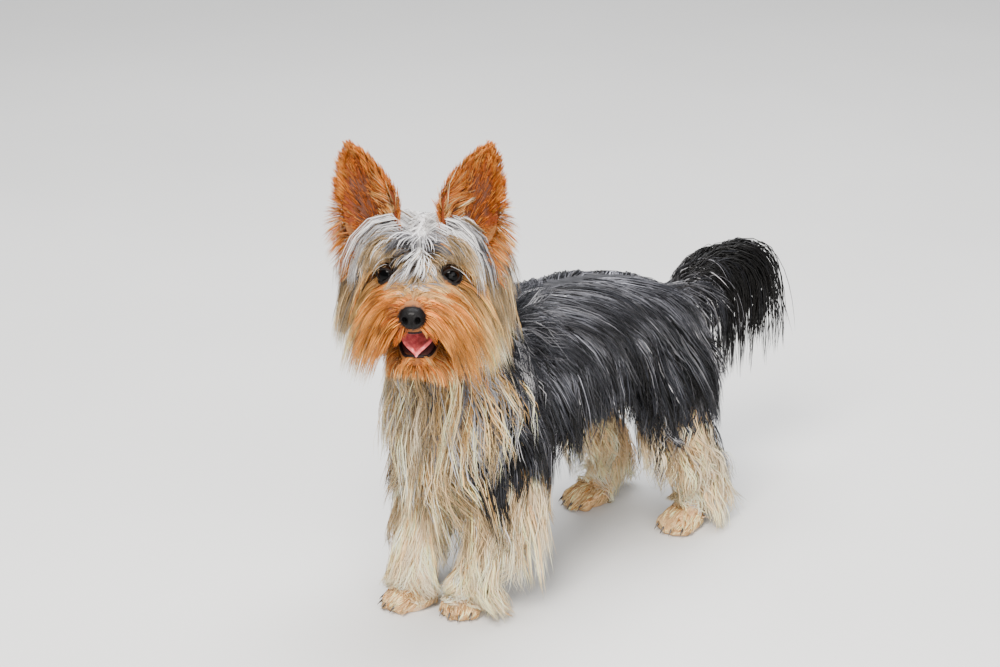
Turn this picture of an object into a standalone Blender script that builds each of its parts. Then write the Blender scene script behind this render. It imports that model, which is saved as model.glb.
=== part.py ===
"""Yorkshire terrier at life size, standing on level ground with its head turned to its left.

Metres, +Z up. The dog faces -Y, so its left side is +X. The origin is the middle of the model's
footprint, on the ground. Every part of the body is a loft: oval sections strung along a bent axis.
A part that grows from another is trimmed by that other part grown by the gap that the two keep.
"""

import itertools
import math
import random
from dataclasses import dataclass, field, replace

import bmesh
import bpy
import numpy as np
from mathutils import Matrix, Vector
from mathutils.bvhtree import BVHTree

# Driving dimensions of the animal
GAP = 0.0003
EYE_LINE = Vector((0.029, -0.135, 0.2485))
HEAD_TURN = math.radians(40)
HEAD_ROLL = math.radians(1.5)
EYE_SPACING = 0.0415
EYE_RADIUS = 0.0078
NOSE_REACH = 0.0395
EAR_WIDTH = 0.040
EAR_THICKNESS = 0.0022
SOLE_LEVEL = 0.0

RING_POINTS = 16
END_SWELL = 0.2

UP = Vector((0, 0, 1))
AHEAD = Vector((0, -1, 0))
DOWN = Vector((0, 0, -1))

# Sections of each part: x, y, z of the centre, half width, reach to the front or top, reach to
# the back or underside, and the depth of the coat there.
TORSO_SECTIONS = (
    (0.000, -0.108, 0.142, 0.010, 0.012, 0.014, 0.014),
    (0.000, -0.101, 0.142, 0.026, 0.028, 0.030, 0.015),
    (0.000, -0.085, 0.144, 0.037, 0.042, 0.042, 0.014),
    (0.000, -0.060, 0.1455, 0.042, 0.0465, 0.0475, 0.013),
    (0.000, -0.030, 0.149, 0.043, 0.044, 0.043, 0.013),
    (0.000, 0.005, 0.152, 0.042, 0.041, 0.038, 0.013),
    (0.000, 0.045, 0.150, 0.040, 0.037, 0.034, 0.013),
    (0.000, 0.080, 0.145, 0.039, 0.033, 0.030, 0.013),
    (0.001, 0.110, 0.138, 0.038, 0.032, 0.030, 0.013),
    (0.002, 0.132, 0.134, 0.029, 0.026, 0.026, 0.012),
    (0.003, 0.142, 0.133, 0.012, 0.012, 0.014, 0.010),
)
NECK_SECTIONS = (
    (0.000, -0.052, 0.140, 0.034, 0.036, 0.034, 0.012),
    (0.000, -0.068, 0.165, 0.033, 0.034, 0.032, 0.014),
    (0.001, -0.082, 0.190, 0.031, 0.031, 0.030, 0.016),
    (0.003, -0.094, 0.213, 0.029, 0.029, 0.028, 0.014),
    (0.006, -0.104, 0.236, 0.025, 0.024, 0.024, 0.010),
)
# The head's sections are in its own frame: left, back from the eye line, up from the eye line.
HEAD_SECTIONS = (
    (0.000, 0.0600, 0.002, 0.010, 0.010, 0.012, 0.010),
    (0.000, 0.0550, 0.001, 0.020, 0.020, 0.022, 0.010),
    (0.000, 0.0440, 0.000, 0.028, 0.028, 0.029, 0.011),
    (0.000, 0.0300, 0.000, 0.0315, 0.0300, 0.0315, 0.012),
    (0.000, 0.0170, 0.000, 0.0310, 0.0275, 0.0310, 0.012),
    (0.000, 0.0080, 0.000, 0.0285, 0.0215, 0.0300, 0.012),
    (0.000, 0.0010, -0.004, 0.0250, 0.0150, 0.0240, 0.012),
    (0.000, -0.0080, -0.009, 0.0200, 0.0105, 0.0165, 0.013),
    (0.000, -0.0180, -0.011, 0.0170, 0.0090, 0.0135, 0.014),
    (0.000, -0.0280, -0.012, 0.0148, 0.0085, 0.0122, 0.005),
    (0.000, -0.0335, -0.012, 0.0115, 0.0070, 0.0105, 0.000),
)
JAW_SECTIONS = (
    (0.000, 0.0180, -0.0270, 0.0175, 0.0060, 0.0080, 0.006),
    (0.000, 0.0060, -0.0320, 0.0160, 0.0050, 0.0080, 0.008),
    (0.000, -0.0060, -0.0370, 0.0135, 0.0040, 0.0075, 0.009),
    (0.000, -0.0160, -0.0415, 0.0110, 0.0038, 0.0065, 0.010),
    (0.000, -0.0225, -0.0440, 0.0080, 0.0030, 0.0050, 0.008),
)
TONGUE_SECTIONS = (
    (0.000, 0.0120, -0.0245, 0.0100, 0.0030, 0.0060, 0.0),
    (0.000, 0.0000, -0.0295, 0.0095, 0.0032, 0.0060, 0.0),
    (0.000, -0.0100, -0.0345, 0.0085, 0.0030, 0.0058, 0.0),
    (0.000, -0.0180, -0.0378, 0.0068, 0.0024, 0.0050, 0.0),
    (0.000, -0.0220, -0.0395, 0.0035, 0.0012, 0.0030, 0.0),
)
TAIL_SECTIONS = (
    (0.003, 0.128, 0.150, 0.011, 0.011, 0.011, 0.006),
    (0.006, 0.143, 0.166, 0.0095, 0.009, 0.010, 0.008),
    (0.012, 0.159, 0.175, 0.0080, 0.007, 0.008, 0.010),
    (0.018, 0.173, 0.179, 0.0060, 0.005, 0.006, 0.008),
    (0.023, 0.186, 0.178, 0.0035, 0.003, 0.003, 0.004),
)
# Legs run from the body down to the sole, and are given for the left side.
FRONT_LEG_SECTIONS = (
    (0.030, -0.062, 0.120, 0.015, 0.022, 0.022, 0.008),
    (0.032, -0.066, 0.098, 0.014, 0.018, 0.019, 0.010),
    (0.029, -0.073, 0.074, 0.0115, 0.013, 0.014, 0.013),
    (0.024, -0.079, 0.050, 0.0095, 0.010, 0.011, 0.016),
    (0.019, -0.084, 0.030, 0.0090, 0.009, 0.010, 0.019),
    (0.016, -0.087, 0.015, 0.0105, 0.011, 0.011, 0.018),
    (0.0155, -0.088, 0.000, 0.0110, 0.012, 0.011, 0.012),
)
HIND_LEG_SECTIONS = (
    (0.026, 0.098, 0.132, 0.018, 0.032, 0.034, 0.006),
    (0.032, 0.092, 0.108, 0.019, 0.029, 0.033, 0.008),
    (0.036, 0.090, 0.085, 0.017, 0.023, 0.026, 0.010),
    (0.038, 0.104, 0.062, 0.013, 0.016, 0.016, 0.013),
    (0.038, 0.121, 0.042, 0.0100, 0.011, 0.012, 0.015),
    (0.037, 0.116, 0.024, 0.0095, 0.010, 0.010, 0.017),
    (0.036, 0.109, 0.010, 0.0105, 0.012, 0.010, 0.015),
    (0.036, 0.107, 0.000, 0.0105, 0.012, 0.010, 0.010),
)
FRONT_RIGHT_STEP = Vector((0.000, -0.019, 0))
HIND_RIGHT_STEP = Vector((0.000, -0.015, 0))
PAW_HALF_WIDTH = 0.0125
PAW_HALF_LENGTH = 0.0165
PAW_HEIGHT = 0.0150
TOE_RADIUS = 0.0052
CLAW_LENGTH = 0.0060
CLAW_RADIUS = 0.0013
EYE_INSET = 0.0017
EYE_DEPTH = 0.0035
EYE_OUTWARD = math.radians(24)
LID_REACH = 0.0058
LID_RADIUS = 0.0054
LID_THICKNESS = 0.0012
LID_SQUASH = 0.86
LIP_RADIUS = 0.0013
NOSE_RADII = (0.0080, 0.0060, 0.0072)
EAR_CUP = 0.012
EAR_ROOT = Vector((0.0255, 0.0190, 0.0190))
EAR_TIP = Vector((0.0425, 0.0240, 0.0765))
EAR_ROWS = 7
EAR_COLUMNS = 6
COAT_SHARE = 0.4
LOCK_SPACE = 0.00035
# Locks that meet exactly edge to edge leave a bad seam, so a node's locks are swollen until none do.
LOCK_SWELLS = (0.0, 0.00001, 0.00002, 0.00003, 0.00004)
ROOT_DEPTH = 0.0022
LOCK_TRIES = 5
CLING_REACH = 0.03
# How wide and thick a lock is on its way to the tip, as shares.
LOCK_WIDTHS = (0.62, 1.0, 0.92, 0.56)
LOCK_THICKNESS = (0.9, 1.0, 0.85, 0.6)
# Angles in degrees up to which neighbouring faces count as one flat: the first that works.
FLAT_ANGLES = (1.9, 1.3, 0.7, 0.2, 0.0)
# Points this near each other count as one.
FINEST = 0.000002
# Ways to cut a face of four corners, and one of more, into triangles.
QUAD_CUTS = ("BEAUTY", "SHORT_EDGE", "LONG_EDGE")
CORNER_CUTS = ("BEAUTY", "EAR_CLIP")
# The torso's tiers: degrees above the side, locks a side, share of the way to the hem, width.
TORSO_TIERS = (
    (82, 8, 0.50, 0.024),
    (50, 9, 0.66, 0.022),
    (20, 9, 1.00, 0.021),
    (-12, 9, 1.00, 0.020),
)
# The hem of the dark coat: how far back, and how high above the ground.
HEM = ((-0.110, 0.088), (-0.055, 0.068), (-0.025, 0.086), (0.020, 0.108), (0.060, 0.094),
       (0.100, 0.082), (0.145, 0.100))
# Rows of the chest: share of the torso's axis and length.
CHEST_ROWS = ((0.02, 0.046), (0.09, 0.052))
RUMP_ROW = (0.955, 0.046)
# The neck's tiers: share of its axis, locks around, length in front and behind, width.
NECK_TIERS = (
    (0.34, 10, 0.066, 0.042, 0.021),
    (0.55, 10, 0.070, 0.044, 0.020),
)
# How much further up the neck its tiers sit behind, where the back meets it higher.
NAPE_RISE = 0.30
# The legs' tiers: share of the axis, locks around, length, width, how far out the tips flare.
FRONT_LEG_TIERS = (
    (0.30, 5, 0.048, 0.019, 0.018),
    (0.50, 6, 0.044, 0.018, 0.028),
    (0.73, 5, 0.024, 0.015, 0.020),
)
TAIL_LOCKS = 16
TAIL_SEED = 11
# Fringe of an ear: share of the way up, edge, lie in the head's frame, length.
EAR_FRINGE = (
    (-0.04, 0.9, (0.55, 0.1, -0.85), 0.040),
    (0.12, 1, (0.65, 0.0, -0.75), 0.036),
    (0.28, 1, (0.7, 0.1, -0.6), 0.026),
    (0.48, 1, (0.7, 0.2, -0.2), 0.015),
    (0.14, -1, (-0.5, -0.2, 0.5), 0.011),
)
# Locks of the head on each side: share of its axis, degrees above the side, lie in the head's
# frame (outward, back, up), length, width, how far off the tip stands, and hang.
HEAD_LOCKS = (
    (0.15, 66, (0.3, 0.9, -0.2), 0.044, 0.018, 0.010, 0.20),
    (0.15, 14, (0.3, 0.7, -0.7), 0.042, 0.018, 0.012, 0.20),
    (0.13, -30, (0.2, 0.6, -0.8), 0.034, 0.017, 0.012, 0.20),
    (0.33, 84, (0.9, 0.3, -0.1), 0.034, 0.015, 0.005, 0.15),
    (0.33, 8, (0.6, 0.3, -0.8), 0.050, 0.016, 0.012, 0.15),
    (0.33, -28, (0.5, 0.2, -0.9), 0.040, 0.015, 0.012, 0.18),
    (0.42, 60, (0.95, 0.0, -0.3), 0.038, 0.014, 0.008, 0.18),
    (0.44, 10, (0.7, 0.1, -0.8), 0.054, 0.014, 0.015, 0.12),
    (0.45, -20, (0.6, 0.1, -0.9), 0.044, 0.014, 0.014, 0.16),
    (0.45, -48, (0.4, 0.1, -0.9), 0.034, 0.014, 0.010, 0.18),
    (0.48, 82, (0.9, -0.2, 0.1), 0.040, 0.013, 0.006, 0.14),
    (0.52, 34, (0.7, -0.1, -0.8), 0.048, 0.012, 0.012, 0.12),
    (0.54, -14, (0.6, 0.0, -0.8), 0.044, 0.012, 0.013, 0.16),
    (0.56, 72, (0.95, -0.3, 0.0), 0.026, 0.010, 0.004, 0.20),
    (0.60, -30, (0.5, 0.1, -0.9), 0.036, 0.012, 0.010, 0.16),
    (0.63, 80, (0.4, -0.6, 0.3), 0.016, 0.008, 0.003, 0.20),
    (0.70, 48, (0.8, 0.3, -0.4), 0.022, 0.009, 0.004, 0.20),
    (0.72, 0, (0.7, 0.3, -0.7), 0.032, 0.011, 0.009, 0.20),
    (0.74, -30, (0.5, 0.2, -0.8), 0.028, 0.011, 0.008, 0.20),
    (0.83, 14, (0.7, 0.2, -0.7), 0.030, 0.010, 0.008, 0.20),
    (0.86, -26, (0.5, 0.1, -0.8), 0.024, 0.010, 0.006, 0.20),
    (0.95, -24, (0.6, 0.0, -0.8), 0.018, 0.008, 0.004, 0.20),
)
HIND_LEG_TIERS = (
    (0.30, 5, 0.046, 0.021, 0.010),
    (0.52, 5, 0.040, 0.019, 0.016),
    (0.73, 5, 0.026, 0.016, 0.018),
)
# Shares of the muzzle's axis and angles of its section, from the corner of the mouth forward.
UPPER_LIP = ((0.62, -38), (0.72, -40), (0.82, -42), (0.90, -46), (0.965, -55), (0.985, -75))
# Each foot: its leg, where it stands, and how far it turns out.
FEET = (
    ("leg_front_left", (0.0145, -0.087), math.radians(24)),
    ("leg_front_right", (-0.0145, -0.106), math.radians(-26)),
    ("leg_hind_left", (0.0360, 0.104), math.radians(8)),
    ("leg_hind_right", (-0.0360, 0.088), math.radians(-8)),
)
LOOKS = {
    "dark steel coat": ((0.06, 0.065, 0.08), 0.55),
    "silver coat": ((0.45, 0.44, 0.44), 0.6),
    "tan coat": ((0.55, 0.32, 0.15), 0.6),
    "blond coat": ((0.66, 0.55, 0.42), 0.65),
    "black coat": ((0.02, 0.02, 0.024), 0.55),
    "ear": ((0.46, 0.20, 0.08), 0.65),
    "tongue": ((0.62, 0.22, 0.24), 0.4),
    "nose": ((0.015, 0.014, 0.015), 0.35),
    "eye": ((0.012, 0.008, 0.006), 0.08),
}


def head_frame():
    """The matrix that carries the head's own coordinates to the body's."""
    turned = Matrix.Rotation(HEAD_TURN, 4, "Z") @ Matrix.Rotation(-HEAD_ROLL, 4, "Y")
    return Matrix.Translation(EYE_LINE) @ turned


def catmull(values, at):
    """Values along an evenly numbered list of control rows, read smoothly at one place."""
    last = len(values) - 1
    i = min(int(at), last - 1)
    t = at - i
    before, a, b, after = (values[max(0, min(last, i + k))] for k in (-1, 0, 1, 2))
    slope_a = (b - before) / 2
    slope_b = (after - a) / 2
    return (
        a * (2 * t**3 - 3 * t**2 + 1)
        + slope_a * (t**3 - 2 * t**2 + t)
        + b * (3 * t**2 - 2 * t**3)
        + slope_b * (t**3 - t**2)
    )


def face_out(shape):
    """Turns all faces of a closed shape to the outside and splits them into triangles."""
    bmesh.ops.triangulate(shape, faces=shape.faces)
    bmesh.ops.recalc_face_normals(shape, faces=shape.faces)
    if shape.calc_volume(signed=True) < 0:
        bmesh.ops.reverse_faces(shape, faces=shape.faces)


@dataclass
class Loft:
    """Oval sections along a bent axis, as a closed solid and as a surface that can be read."""

    sections: tuple
    front: Vector = field(default_factory=lambda: UP.copy())
    along_axis: Vector | None = None
    rings: int = 12
    frame: Matrix = field(default_factory=lambda: Matrix.Identity(4))
    grow: float = 0.0
    coat_share: float = 0.0
    squareness: float = 2.3

    def __post_init__(self):
        self.rows = np.array(self.sections, float)
        ahead = self.along_axis or Vector(self.rows[-1][:3] - self.rows[0][:3])
        self.ahead = ahead.normalized()
        self.side = self.ahead.cross(self.front).normalized()
        self.top = self.side.cross(self.ahead).normalized()

    def row(self, along):
        """The section at a share of the axis from 0 to 1."""
        return catmull(self.rows, along * (len(self.rows) - 1))

    def point(self, along, angle, lift=0.0):
        """A point of the surface: angle 90 degrees is the section's front, 0 its side."""
        row = self.row(along)
        extra = self.grow + self.coat_share * row[6] + lift
        cosine, sine = math.cos(angle), math.sin(angle)
        power = 2 / self.squareness
        reach = (row[4] if sine > 0 else row[5]) + extra
        sideways = math.copysign(abs(cosine) ** power, cosine) * (row[3] + extra)
        upwards = math.copysign(abs(sine) ** power, sine) * reach
        centre = Vector(row[:3]) + self.ahead * (extra * (2 * along - 1))
        return self.frame @ (centre + self.side * sideways + self.top * upwards)

    def mesh(self, name):
        """The closed mesh of the loft, its ends drawn to a middle point."""
        shape = bmesh.new()
        loops = []
        for i in range(self.rings):
            along = i / (self.rings - 1)
            ring = [
                shape.verts.new(self.point(along, math.tau * k / RING_POINTS))
                for k in range(RING_POINTS)
            ]
            loops.append(ring)
        for ring, following in zip(loops, loops[1:]):
            for k in range(RING_POINTS):
                after = (k + 1) % RING_POINTS
                shape.faces.new((ring[k], ring[after], following[after], following[k]))
        for ring, along, outward in ((loops[0], 0.0, -1), (loops[-1], 1.0, 1)):
            row = self.row(along)
            swell = self.grow + self.coat_share * row[6] + END_SWELL * min(row[3:6])
            end = Vector(row[:3]) + self.ahead * (outward * swell)
            middle = shape.verts.new(self.frame @ end)
            for k in range(RING_POINTS):
                shape.faces.new((ring[k], ring[(k + 1) % RING_POINTS], middle))
        face_out(shape)
        data = bpy.data.meshes.new(name)
        shape.to_mesh(data)
        shape.free()
        return data

    def grown(self, by):
        """The same loft, larger all round."""
        return replace(self, grow=self.grow + by)


def paint(name, colour, roughness):
    """A plain material with the part's colour."""
    finish = bpy.data.materials.new(name)
    finish.use_nodes = True
    shader = finish.node_tree.nodes["Principled BSDF"]
    shader.inputs["Base Color"].default_value = (*colour, 1.0)
    shader.inputs["Roughness"].default_value = roughness
    shader.inputs["Metallic"].default_value = 0.0
    return finish


def place(name, data, collection, finish=None):
    """A mesh as an object of a collection."""
    piece = bpy.data.objects.new(name, data)
    collection.objects.link(piece)
    if finish:
        data.materials.clear()
        data.materials.append(finish)
    return piece


def helper_collection(name):
    """A collection for pieces that are used up by a Boolean."""
    held = bpy.data.collections.new(name)
    bpy.context.scene.collection.children.link(held)
    return held


def merge_flats(data, angles):
    """Joins small faces that lie on one flat, then cuts all into triangles.

    It takes the first angle and cut that leave each edge with two faces, or else the last ones,
    and says if it found such a pair.
    """
    given = bmesh.new()
    given.from_mesh(data)
    for degrees, quads, corners in itertools.product(angles, QUAD_CUTS, CORNER_CUTS):
        shape = given.copy()
        if degrees:
            bmesh.ops.dissolve_limit(shape, angle_limit=math.radians(degrees),
                                     verts=shape.verts, edges=shape.edges)
        bmesh.ops.triangulate(shape, faces=shape.faces, quad_method=quads, ngon_method=corners)
        bmesh.ops.remove_doubles(shape, verts=shape.verts, dist=FINEST)
        bmesh.ops.dissolve_degenerate(shape, edges=shape.edges, dist=FINEST)
        bmesh.ops.triangulate(shape, faces=shape.faces)
        sound = all(len(edge.link_faces) == 2 for edge in shape.edges)
        shape.to_mesh(data)
        shape.free()
        if sound:
            break
    given.free()
    return sound


def keep_largest(data):
    """Drops every closed surface of the mesh but the one with the most room inside its box."""
    shape = bmesh.new()
    shape.from_mesh(data)
    shape.faces.ensure_lookup_table()
    unseen = set(shape.faces)
    best, best_size = None, -1.0
    shells = []
    while unseen:
        start = unseen.pop()
        shell, edge_of_search = {start}, [start]
        while edge_of_search:
            face = edge_of_search.pop()
            for edge in face.edges:
                for other in edge.link_faces:
                    if other in unseen:
                        unseen.discard(other)
                        shell.add(other)
                        edge_of_search.append(other)
        points = np.array([v.co for f in shell for v in f.verts])
        size = float(np.prod(points.max(0) - points.min(0)))
        shells.append(shell)
        if size > best_size:
            best, best_size = shell, size
    for shell in shells:
        if shell is not best:
            bmesh.ops.delete(shape, geom=list(shell), context="FACES")
    shape.to_mesh(data)
    shape.free()
    merge_flats(data, (0.0,))


def combine(target, pieces, operation):
    """Joins the pieces to the target, or cuts them from it, and uses them up."""
    held = helper_collection("pieces of " + target.name)
    for piece in pieces:
        for owner in list(piece.users_collection):
            owner.objects.unlink(piece)
        held.objects.link(piece)
    change = target.modifiers.new(operation.title(), "BOOLEAN")
    change.operation = operation
    change.solver = "MANIFOLD"
    change.operand_type = "COLLECTION"
    change.collection = held
    bpy.context.view_layer.update()
    evaluated = target.evaluated_get(bpy.context.evaluated_depsgraph_get())
    made = bpy.data.meshes.new_from_object(evaluated)
    target.modifiers.remove(change)
    old = target.data
    target.data = made
    bpy.data.meshes.remove(old)
    for piece in pieces:
        used = piece.data
        bpy.data.objects.remove(piece)
        bpy.data.meshes.remove(used)
    bpy.data.collections.remove(held)
    keep_largest(target.data)


def trim(target, *neighbours):
    """Cuts the target back from lofts that are grown by the gap."""
    scene = bpy.context.scene.collection
    cutters = [
        place("cutter", loft.grown(GAP).mesh("cutter"), scene) for loft in neighbours
    ]
    combine(target, cutters, "DIFFERENCE")


def ball(name, centre, radii, turn=None, segments=16, rings=10):
    """An ellipsoid as an object of the scene, its size and place in its mesh."""
    data = bpy.data.meshes.new(name)
    shape = bmesh.new()
    bmesh.ops.create_uvsphere(shape, u_segments=segments, v_segments=rings, radius=1.0)
    move = Matrix.Translation(centre) @ (turn or Matrix.Identity(4))
    bmesh.ops.transform(shape, matrix=move @ Matrix.Diagonal((*radii, 1)), verts=shape.verts)
    face_out(shape)
    shape.to_mesh(data)
    shape.free()
    return place(name, data, bpy.context.scene.collection)


def cone(name, base, tip, radius, sides=4):
    """A pointed cone from a base point to a tip."""
    data = bpy.data.meshes.new(name)
    shape = bmesh.new()
    axis = tip - base
    bmesh.ops.create_cone(shape, cap_ends=True, segments=sides, radius1=radius,
                          radius2=radius * 0.15, depth=axis.length)
    aim = axis.to_track_quat("Z", "Y").to_matrix().to_4x4()
    bmesh.ops.transform(shape, matrix=Matrix.Translation((base + tip) / 2) @ aim,
                        verts=shape.verts)
    face_out(shape)
    shape.to_mesh(data)
    shape.free()
    return place(name, data, bpy.context.scene.collection)


def block(name, low, high):
    """A box between two corners."""
    data = bpy.data.meshes.new(name)
    shape = bmesh.new()
    bmesh.ops.create_cube(shape, size=1.0)
    size = high - low
    move = Matrix.Translation((low + high) / 2) @ Matrix.Diagonal((*size, 1))
    bmesh.ops.transform(shape, matrix=move, verts=shape.verts)
    face_out(shape)
    shape.to_mesh(data)
    shape.free()
    return place(name, data, bpy.context.scene.collection)


def ring_round(name, centre, facing, radius, thickness, squash=1.0):
    """A torus facing a direction, such as the rim of an eye's lids."""
    held = bpy.data.curves.new(name, "CURVE")
    held.dimensions = "3D"
    held.bevel_depth = thickness
    held.bevel_resolution = 0
    held.resolution_u = 1
    line = held.splines.new("POLY")
    count = 12
    line.points.add(count - 1)
    line.use_cyclic_u = True
    aim = facing.to_track_quat("Z", "Y").to_matrix().to_4x4()
    for k in range(count):
        turn = math.tau * k / count
        at = Vector((radius * math.cos(turn), radius * squash * math.sin(turn), 0))
        line.points[k].co = (*(Matrix.Translation(centre) @ aim @ at), 1)
    return converted(name, held)


def tube_along(name, points, radii, sides=0):
    """A tube through points, thinner where the radii say."""
    held = bpy.data.curves.new(name, "CURVE")
    held.dimensions = "3D"
    held.bevel_depth = 1.0
    held.bevel_resolution = sides
    held.use_fill_caps = True
    line = held.splines.new("POLY")
    line.points.add(len(points) - 1)
    for place_of, point, radius in zip(line.points, points, radii):
        place_of.co = (*point, 1)
        place_of.radius = radius
    return converted(name, held)


def converted(name, curve):
    """A curve turned into a closed mesh object, the curve removed."""
    scene = bpy.context.scene.collection
    drawn = bpy.data.objects.new(name + " line", curve)
    scene.objects.link(drawn)
    bpy.context.view_layer.update()
    graph = bpy.context.evaluated_depsgraph_get()
    data = bpy.data.meshes.new_from_object(drawn.evaluated_get(graph))
    bpy.data.objects.remove(drawn)
    bpy.data.curves.remove(curve)
    shape = bmesh.new()
    shape.from_mesh(data)
    bmesh.ops.remove_doubles(shape, verts=shape.verts, dist=1e-6)
    face_out(shape)
    shape.to_mesh(data)
    shape.free()
    return place(name, data, scene)


def mirrored(sections, step):
    """The right leg's sections: the left's mirrored, stepping forward towards the sole."""
    highest = sections[0][2]
    rows = []
    for x, y, z, *sizes in sections:
        share = 1 - z / highest
        rows.append((-x, y + step.y * share, z, *sizes))
    return tuple(rows)


HEAD = head_frame()
TORSO = Loft(TORSO_SECTIONS, UP, Vector((0, 1, 0)), rings=16, coat_share=COAT_SHARE)
NECK = Loft(NECK_SECTIONS, AHEAD, rings=8, coat_share=COAT_SHARE)
SKULL = Loft(HEAD_SECTIONS, UP, AHEAD, rings=20, frame=HEAD)
JAW = Loft(JAW_SECTIONS, UP, AHEAD, rings=7, frame=HEAD)
TONGUE = Loft(TONGUE_SECTIONS, UP, AHEAD, rings=6, frame=HEAD)
TAIL = Loft(TAIL_SECTIONS, UP, rings=7, coat_share=COAT_SHARE)
LEGS = {
    "leg_front_left": Loft(FRONT_LEG_SECTIONS, AHEAD, DOWN, rings=10, coat_share=COAT_SHARE),
    "leg_front_right": Loft(mirrored(FRONT_LEG_SECTIONS, FRONT_RIGHT_STEP), AHEAD, DOWN,
                            rings=10, coat_share=COAT_SHARE),
    "leg_hind_left": Loft(HIND_LEG_SECTIONS, AHEAD, DOWN, rings=10, coat_share=COAT_SHARE),
    "leg_hind_right": Loft(mirrored(HIND_LEG_SECTIONS, HIND_RIGHT_STEP), AHEAD, DOWN,
                           rings=10, coat_share=COAT_SHARE),
}


def eye_place(side):
    """The centre of an eye and the way it looks, in the head's own frame."""
    centre = Vector((side * EYE_SPACING / 2 - side * EYE_INSET, EYE_DEPTH, 0.0))
    looks = Vector((side * math.sin(EYE_OUTWARD), -math.cos(EYE_OUTWARD), 0.1)).normalized()
    return centre, looks


def in_head(point):
    """A point of the head's own frame, in the body's."""
    return HEAD @ point


def turned_in_head(direction):
    """A direction of the head's own frame, in the body's."""
    return (HEAD.to_3x3() @ direction).normalized()


def off_body(body, point):
    """How far a point stands off the body, and the way straight out there."""
    near, normal, _, distance = body.find_nearest(point)
    if distance < 1e-5:
        return distance, normal
    inside = (point - near).dot(normal) < 0
    outward = (point - near) / (-distance if inside else distance)
    return (-distance if inside else distance), outward


@dataclass
class Lock:
    """A flat tapered lock of hair: where it grows, how it lies and how large it is."""

    root: Vector
    out: Vector
    lie: Vector
    length: float
    width: float
    thickness: float = 0.0024
    stand: float = 0.006
    hang: float = 0.25
    cling: float = 1.0
    steps: int = 4

    def path(self, body):
        """Points from under the surface to the tip, each a little further off the body.

        A lock follows the body down to where it turns under, and hangs free from there.
        """
        points = [self.root - self.out * ROOT_DEPTH]
        at = self.root + self.out * 0.0006
        heading = (self.lie + self.out * 0.15).normalized()
        step = self.length / self.steps
        for k in range(self.steps):
            before = at
            at = at + heading * step
            height, outward = off_body(body, at)
            wanted = max(0.0014, self.stand * (k + 1) / self.steps)
            if height < wanted:
                at = at + outward * (wanted - height)
            elif height < CLING_REACH and outward.z > -0.3:
                at = at - outward * ((height - wanted) * self.cling)
            at.z = max(at.z, SOLE_LEVEL + 0.003 + 0.5 * self.thickness)
            heading = (at - before).normalized() * (1 - self.hang) + DOWN * self.hang
            heading.normalize()
            points.append(at)
        return points

    def mesh(self, body, spare=0.0):
        """The lock as a closed blade, flat below, ridged and pointed, larger by the spare."""
        points = self.path(body)
        shape = bmesh.new()
        rings = []
        for k, point in enumerate(points[:-1]):
            ahead = (points[k + 1] - points[max(0, k - 1)]).normalized()
            across = ahead.cross(off_body(body, point)[1] if k else self.out)
            across = across.normalized() if across.length > 0.1 else ahead.orthogonal()
            out = across.cross(ahead).normalized()
            share = k * (len(LOCK_WIDTHS) - 1) / (len(points) - 2)
            width = np.interp(share, range(4), LOCK_WIDTHS) * self.width / 2 + spare
            thick = np.interp(share, range(4), LOCK_THICKNESS) * self.thickness / 2 + spare
            edge = out * (-0.7 * thick)
            rings.append([
                shape.verts.new(point + move)
                for move in (across * width + edge, out * thick, -across * width + edge)
            ])
        tip = points[-1] + (points[-1] - points[-2]).normalized() * spare
        end = shape.verts.new(tip)
        shape.faces.new(rings[0])
        for ring, following in zip(rings, rings[1:]):
            for j in range(3):
                after = (j + 1) % 3
                shape.faces.new((ring[j], ring[after], following[after], following[j]))
        for j in range(3):
            shape.faces.new((rings[-1][j], rings[-1][(j + 1) % 3], end))
        face_out(shape)
        data = bpy.data.meshes.new("lock")
        shape.to_mesh(data)
        shape.free()
        return data


def tree_of(*pieces):
    """One search tree over the faces of some meshes or objects."""
    points, faces = [], []
    for piece in pieces:
        data = getattr(piece, "data", piece)
        first = len(points)
        points += [v.co.copy() for v in data.vertices]
        loops = [list(face.vertices) for face in data.polygons]
        starts = [loop.index(min(loop)) for loop in loops]
        turned = sorted(loop[start:] + loop[:start] for loop, start in zip(loops, starts))
        faces += [[first + i for i in loop] for loop in turned]
    return BVHTree.FromPolygons(points, faces)


def grow_locks(node, locks, nodes, body):
    """Fuses with a node those of its locks that find a way clear of all other nodes."""
    others = tree_of(*(piece for name, piece in nodes.items() if piece is not node))
    clear = []
    for lock in locks:
        for _ in range(LOCK_TRIES):
            test = lock.mesh(body, LOCK_SPACE)
            free = not tree_of(test).overlap(others)
            bpy.data.meshes.remove(test)
            if free:
                clear.append(lock)
                break
            lock.stand += 0.0025
            lock.length *= 0.93
    bare = node.data.copy()
    for swell in LOCK_SWELLS:
        node.data = bare.copy()
        scene = bpy.context.scene.collection
        combine(node, [place("lock", lock.mesh(body, swell), scene) for lock in clear], "UNION")
        if merge_flats(node.data, FLAT_ANGLES):
            break
    bpy.data.meshes.remove(bare)


def surface(loft, along, angle):
    """A root on a loft, the way out from it there, and its ways round and along."""
    root = loft.point(along, angle)
    ahead = loft.point(min(1, along + 0.01), angle) - loft.point(max(0, along - 0.01), angle)
    round_way = loft.point(along, angle + 0.05) - loft.point(along, angle - 0.05)
    out = ahead.cross(round_way).normalized()
    middle = loft.frame @ Vector(loft.row(along)[:3])
    if out.dot(root - middle) < 0:
        out.negate()
    return root, out, round_way.normalized(), ahead.normalized()


def hem_height(back):
    """How high the hem of the dark coat hangs, that far back."""
    return float(np.interp(back, [row[0] for row in HEM], [row[1] for row in HEM]))


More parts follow.
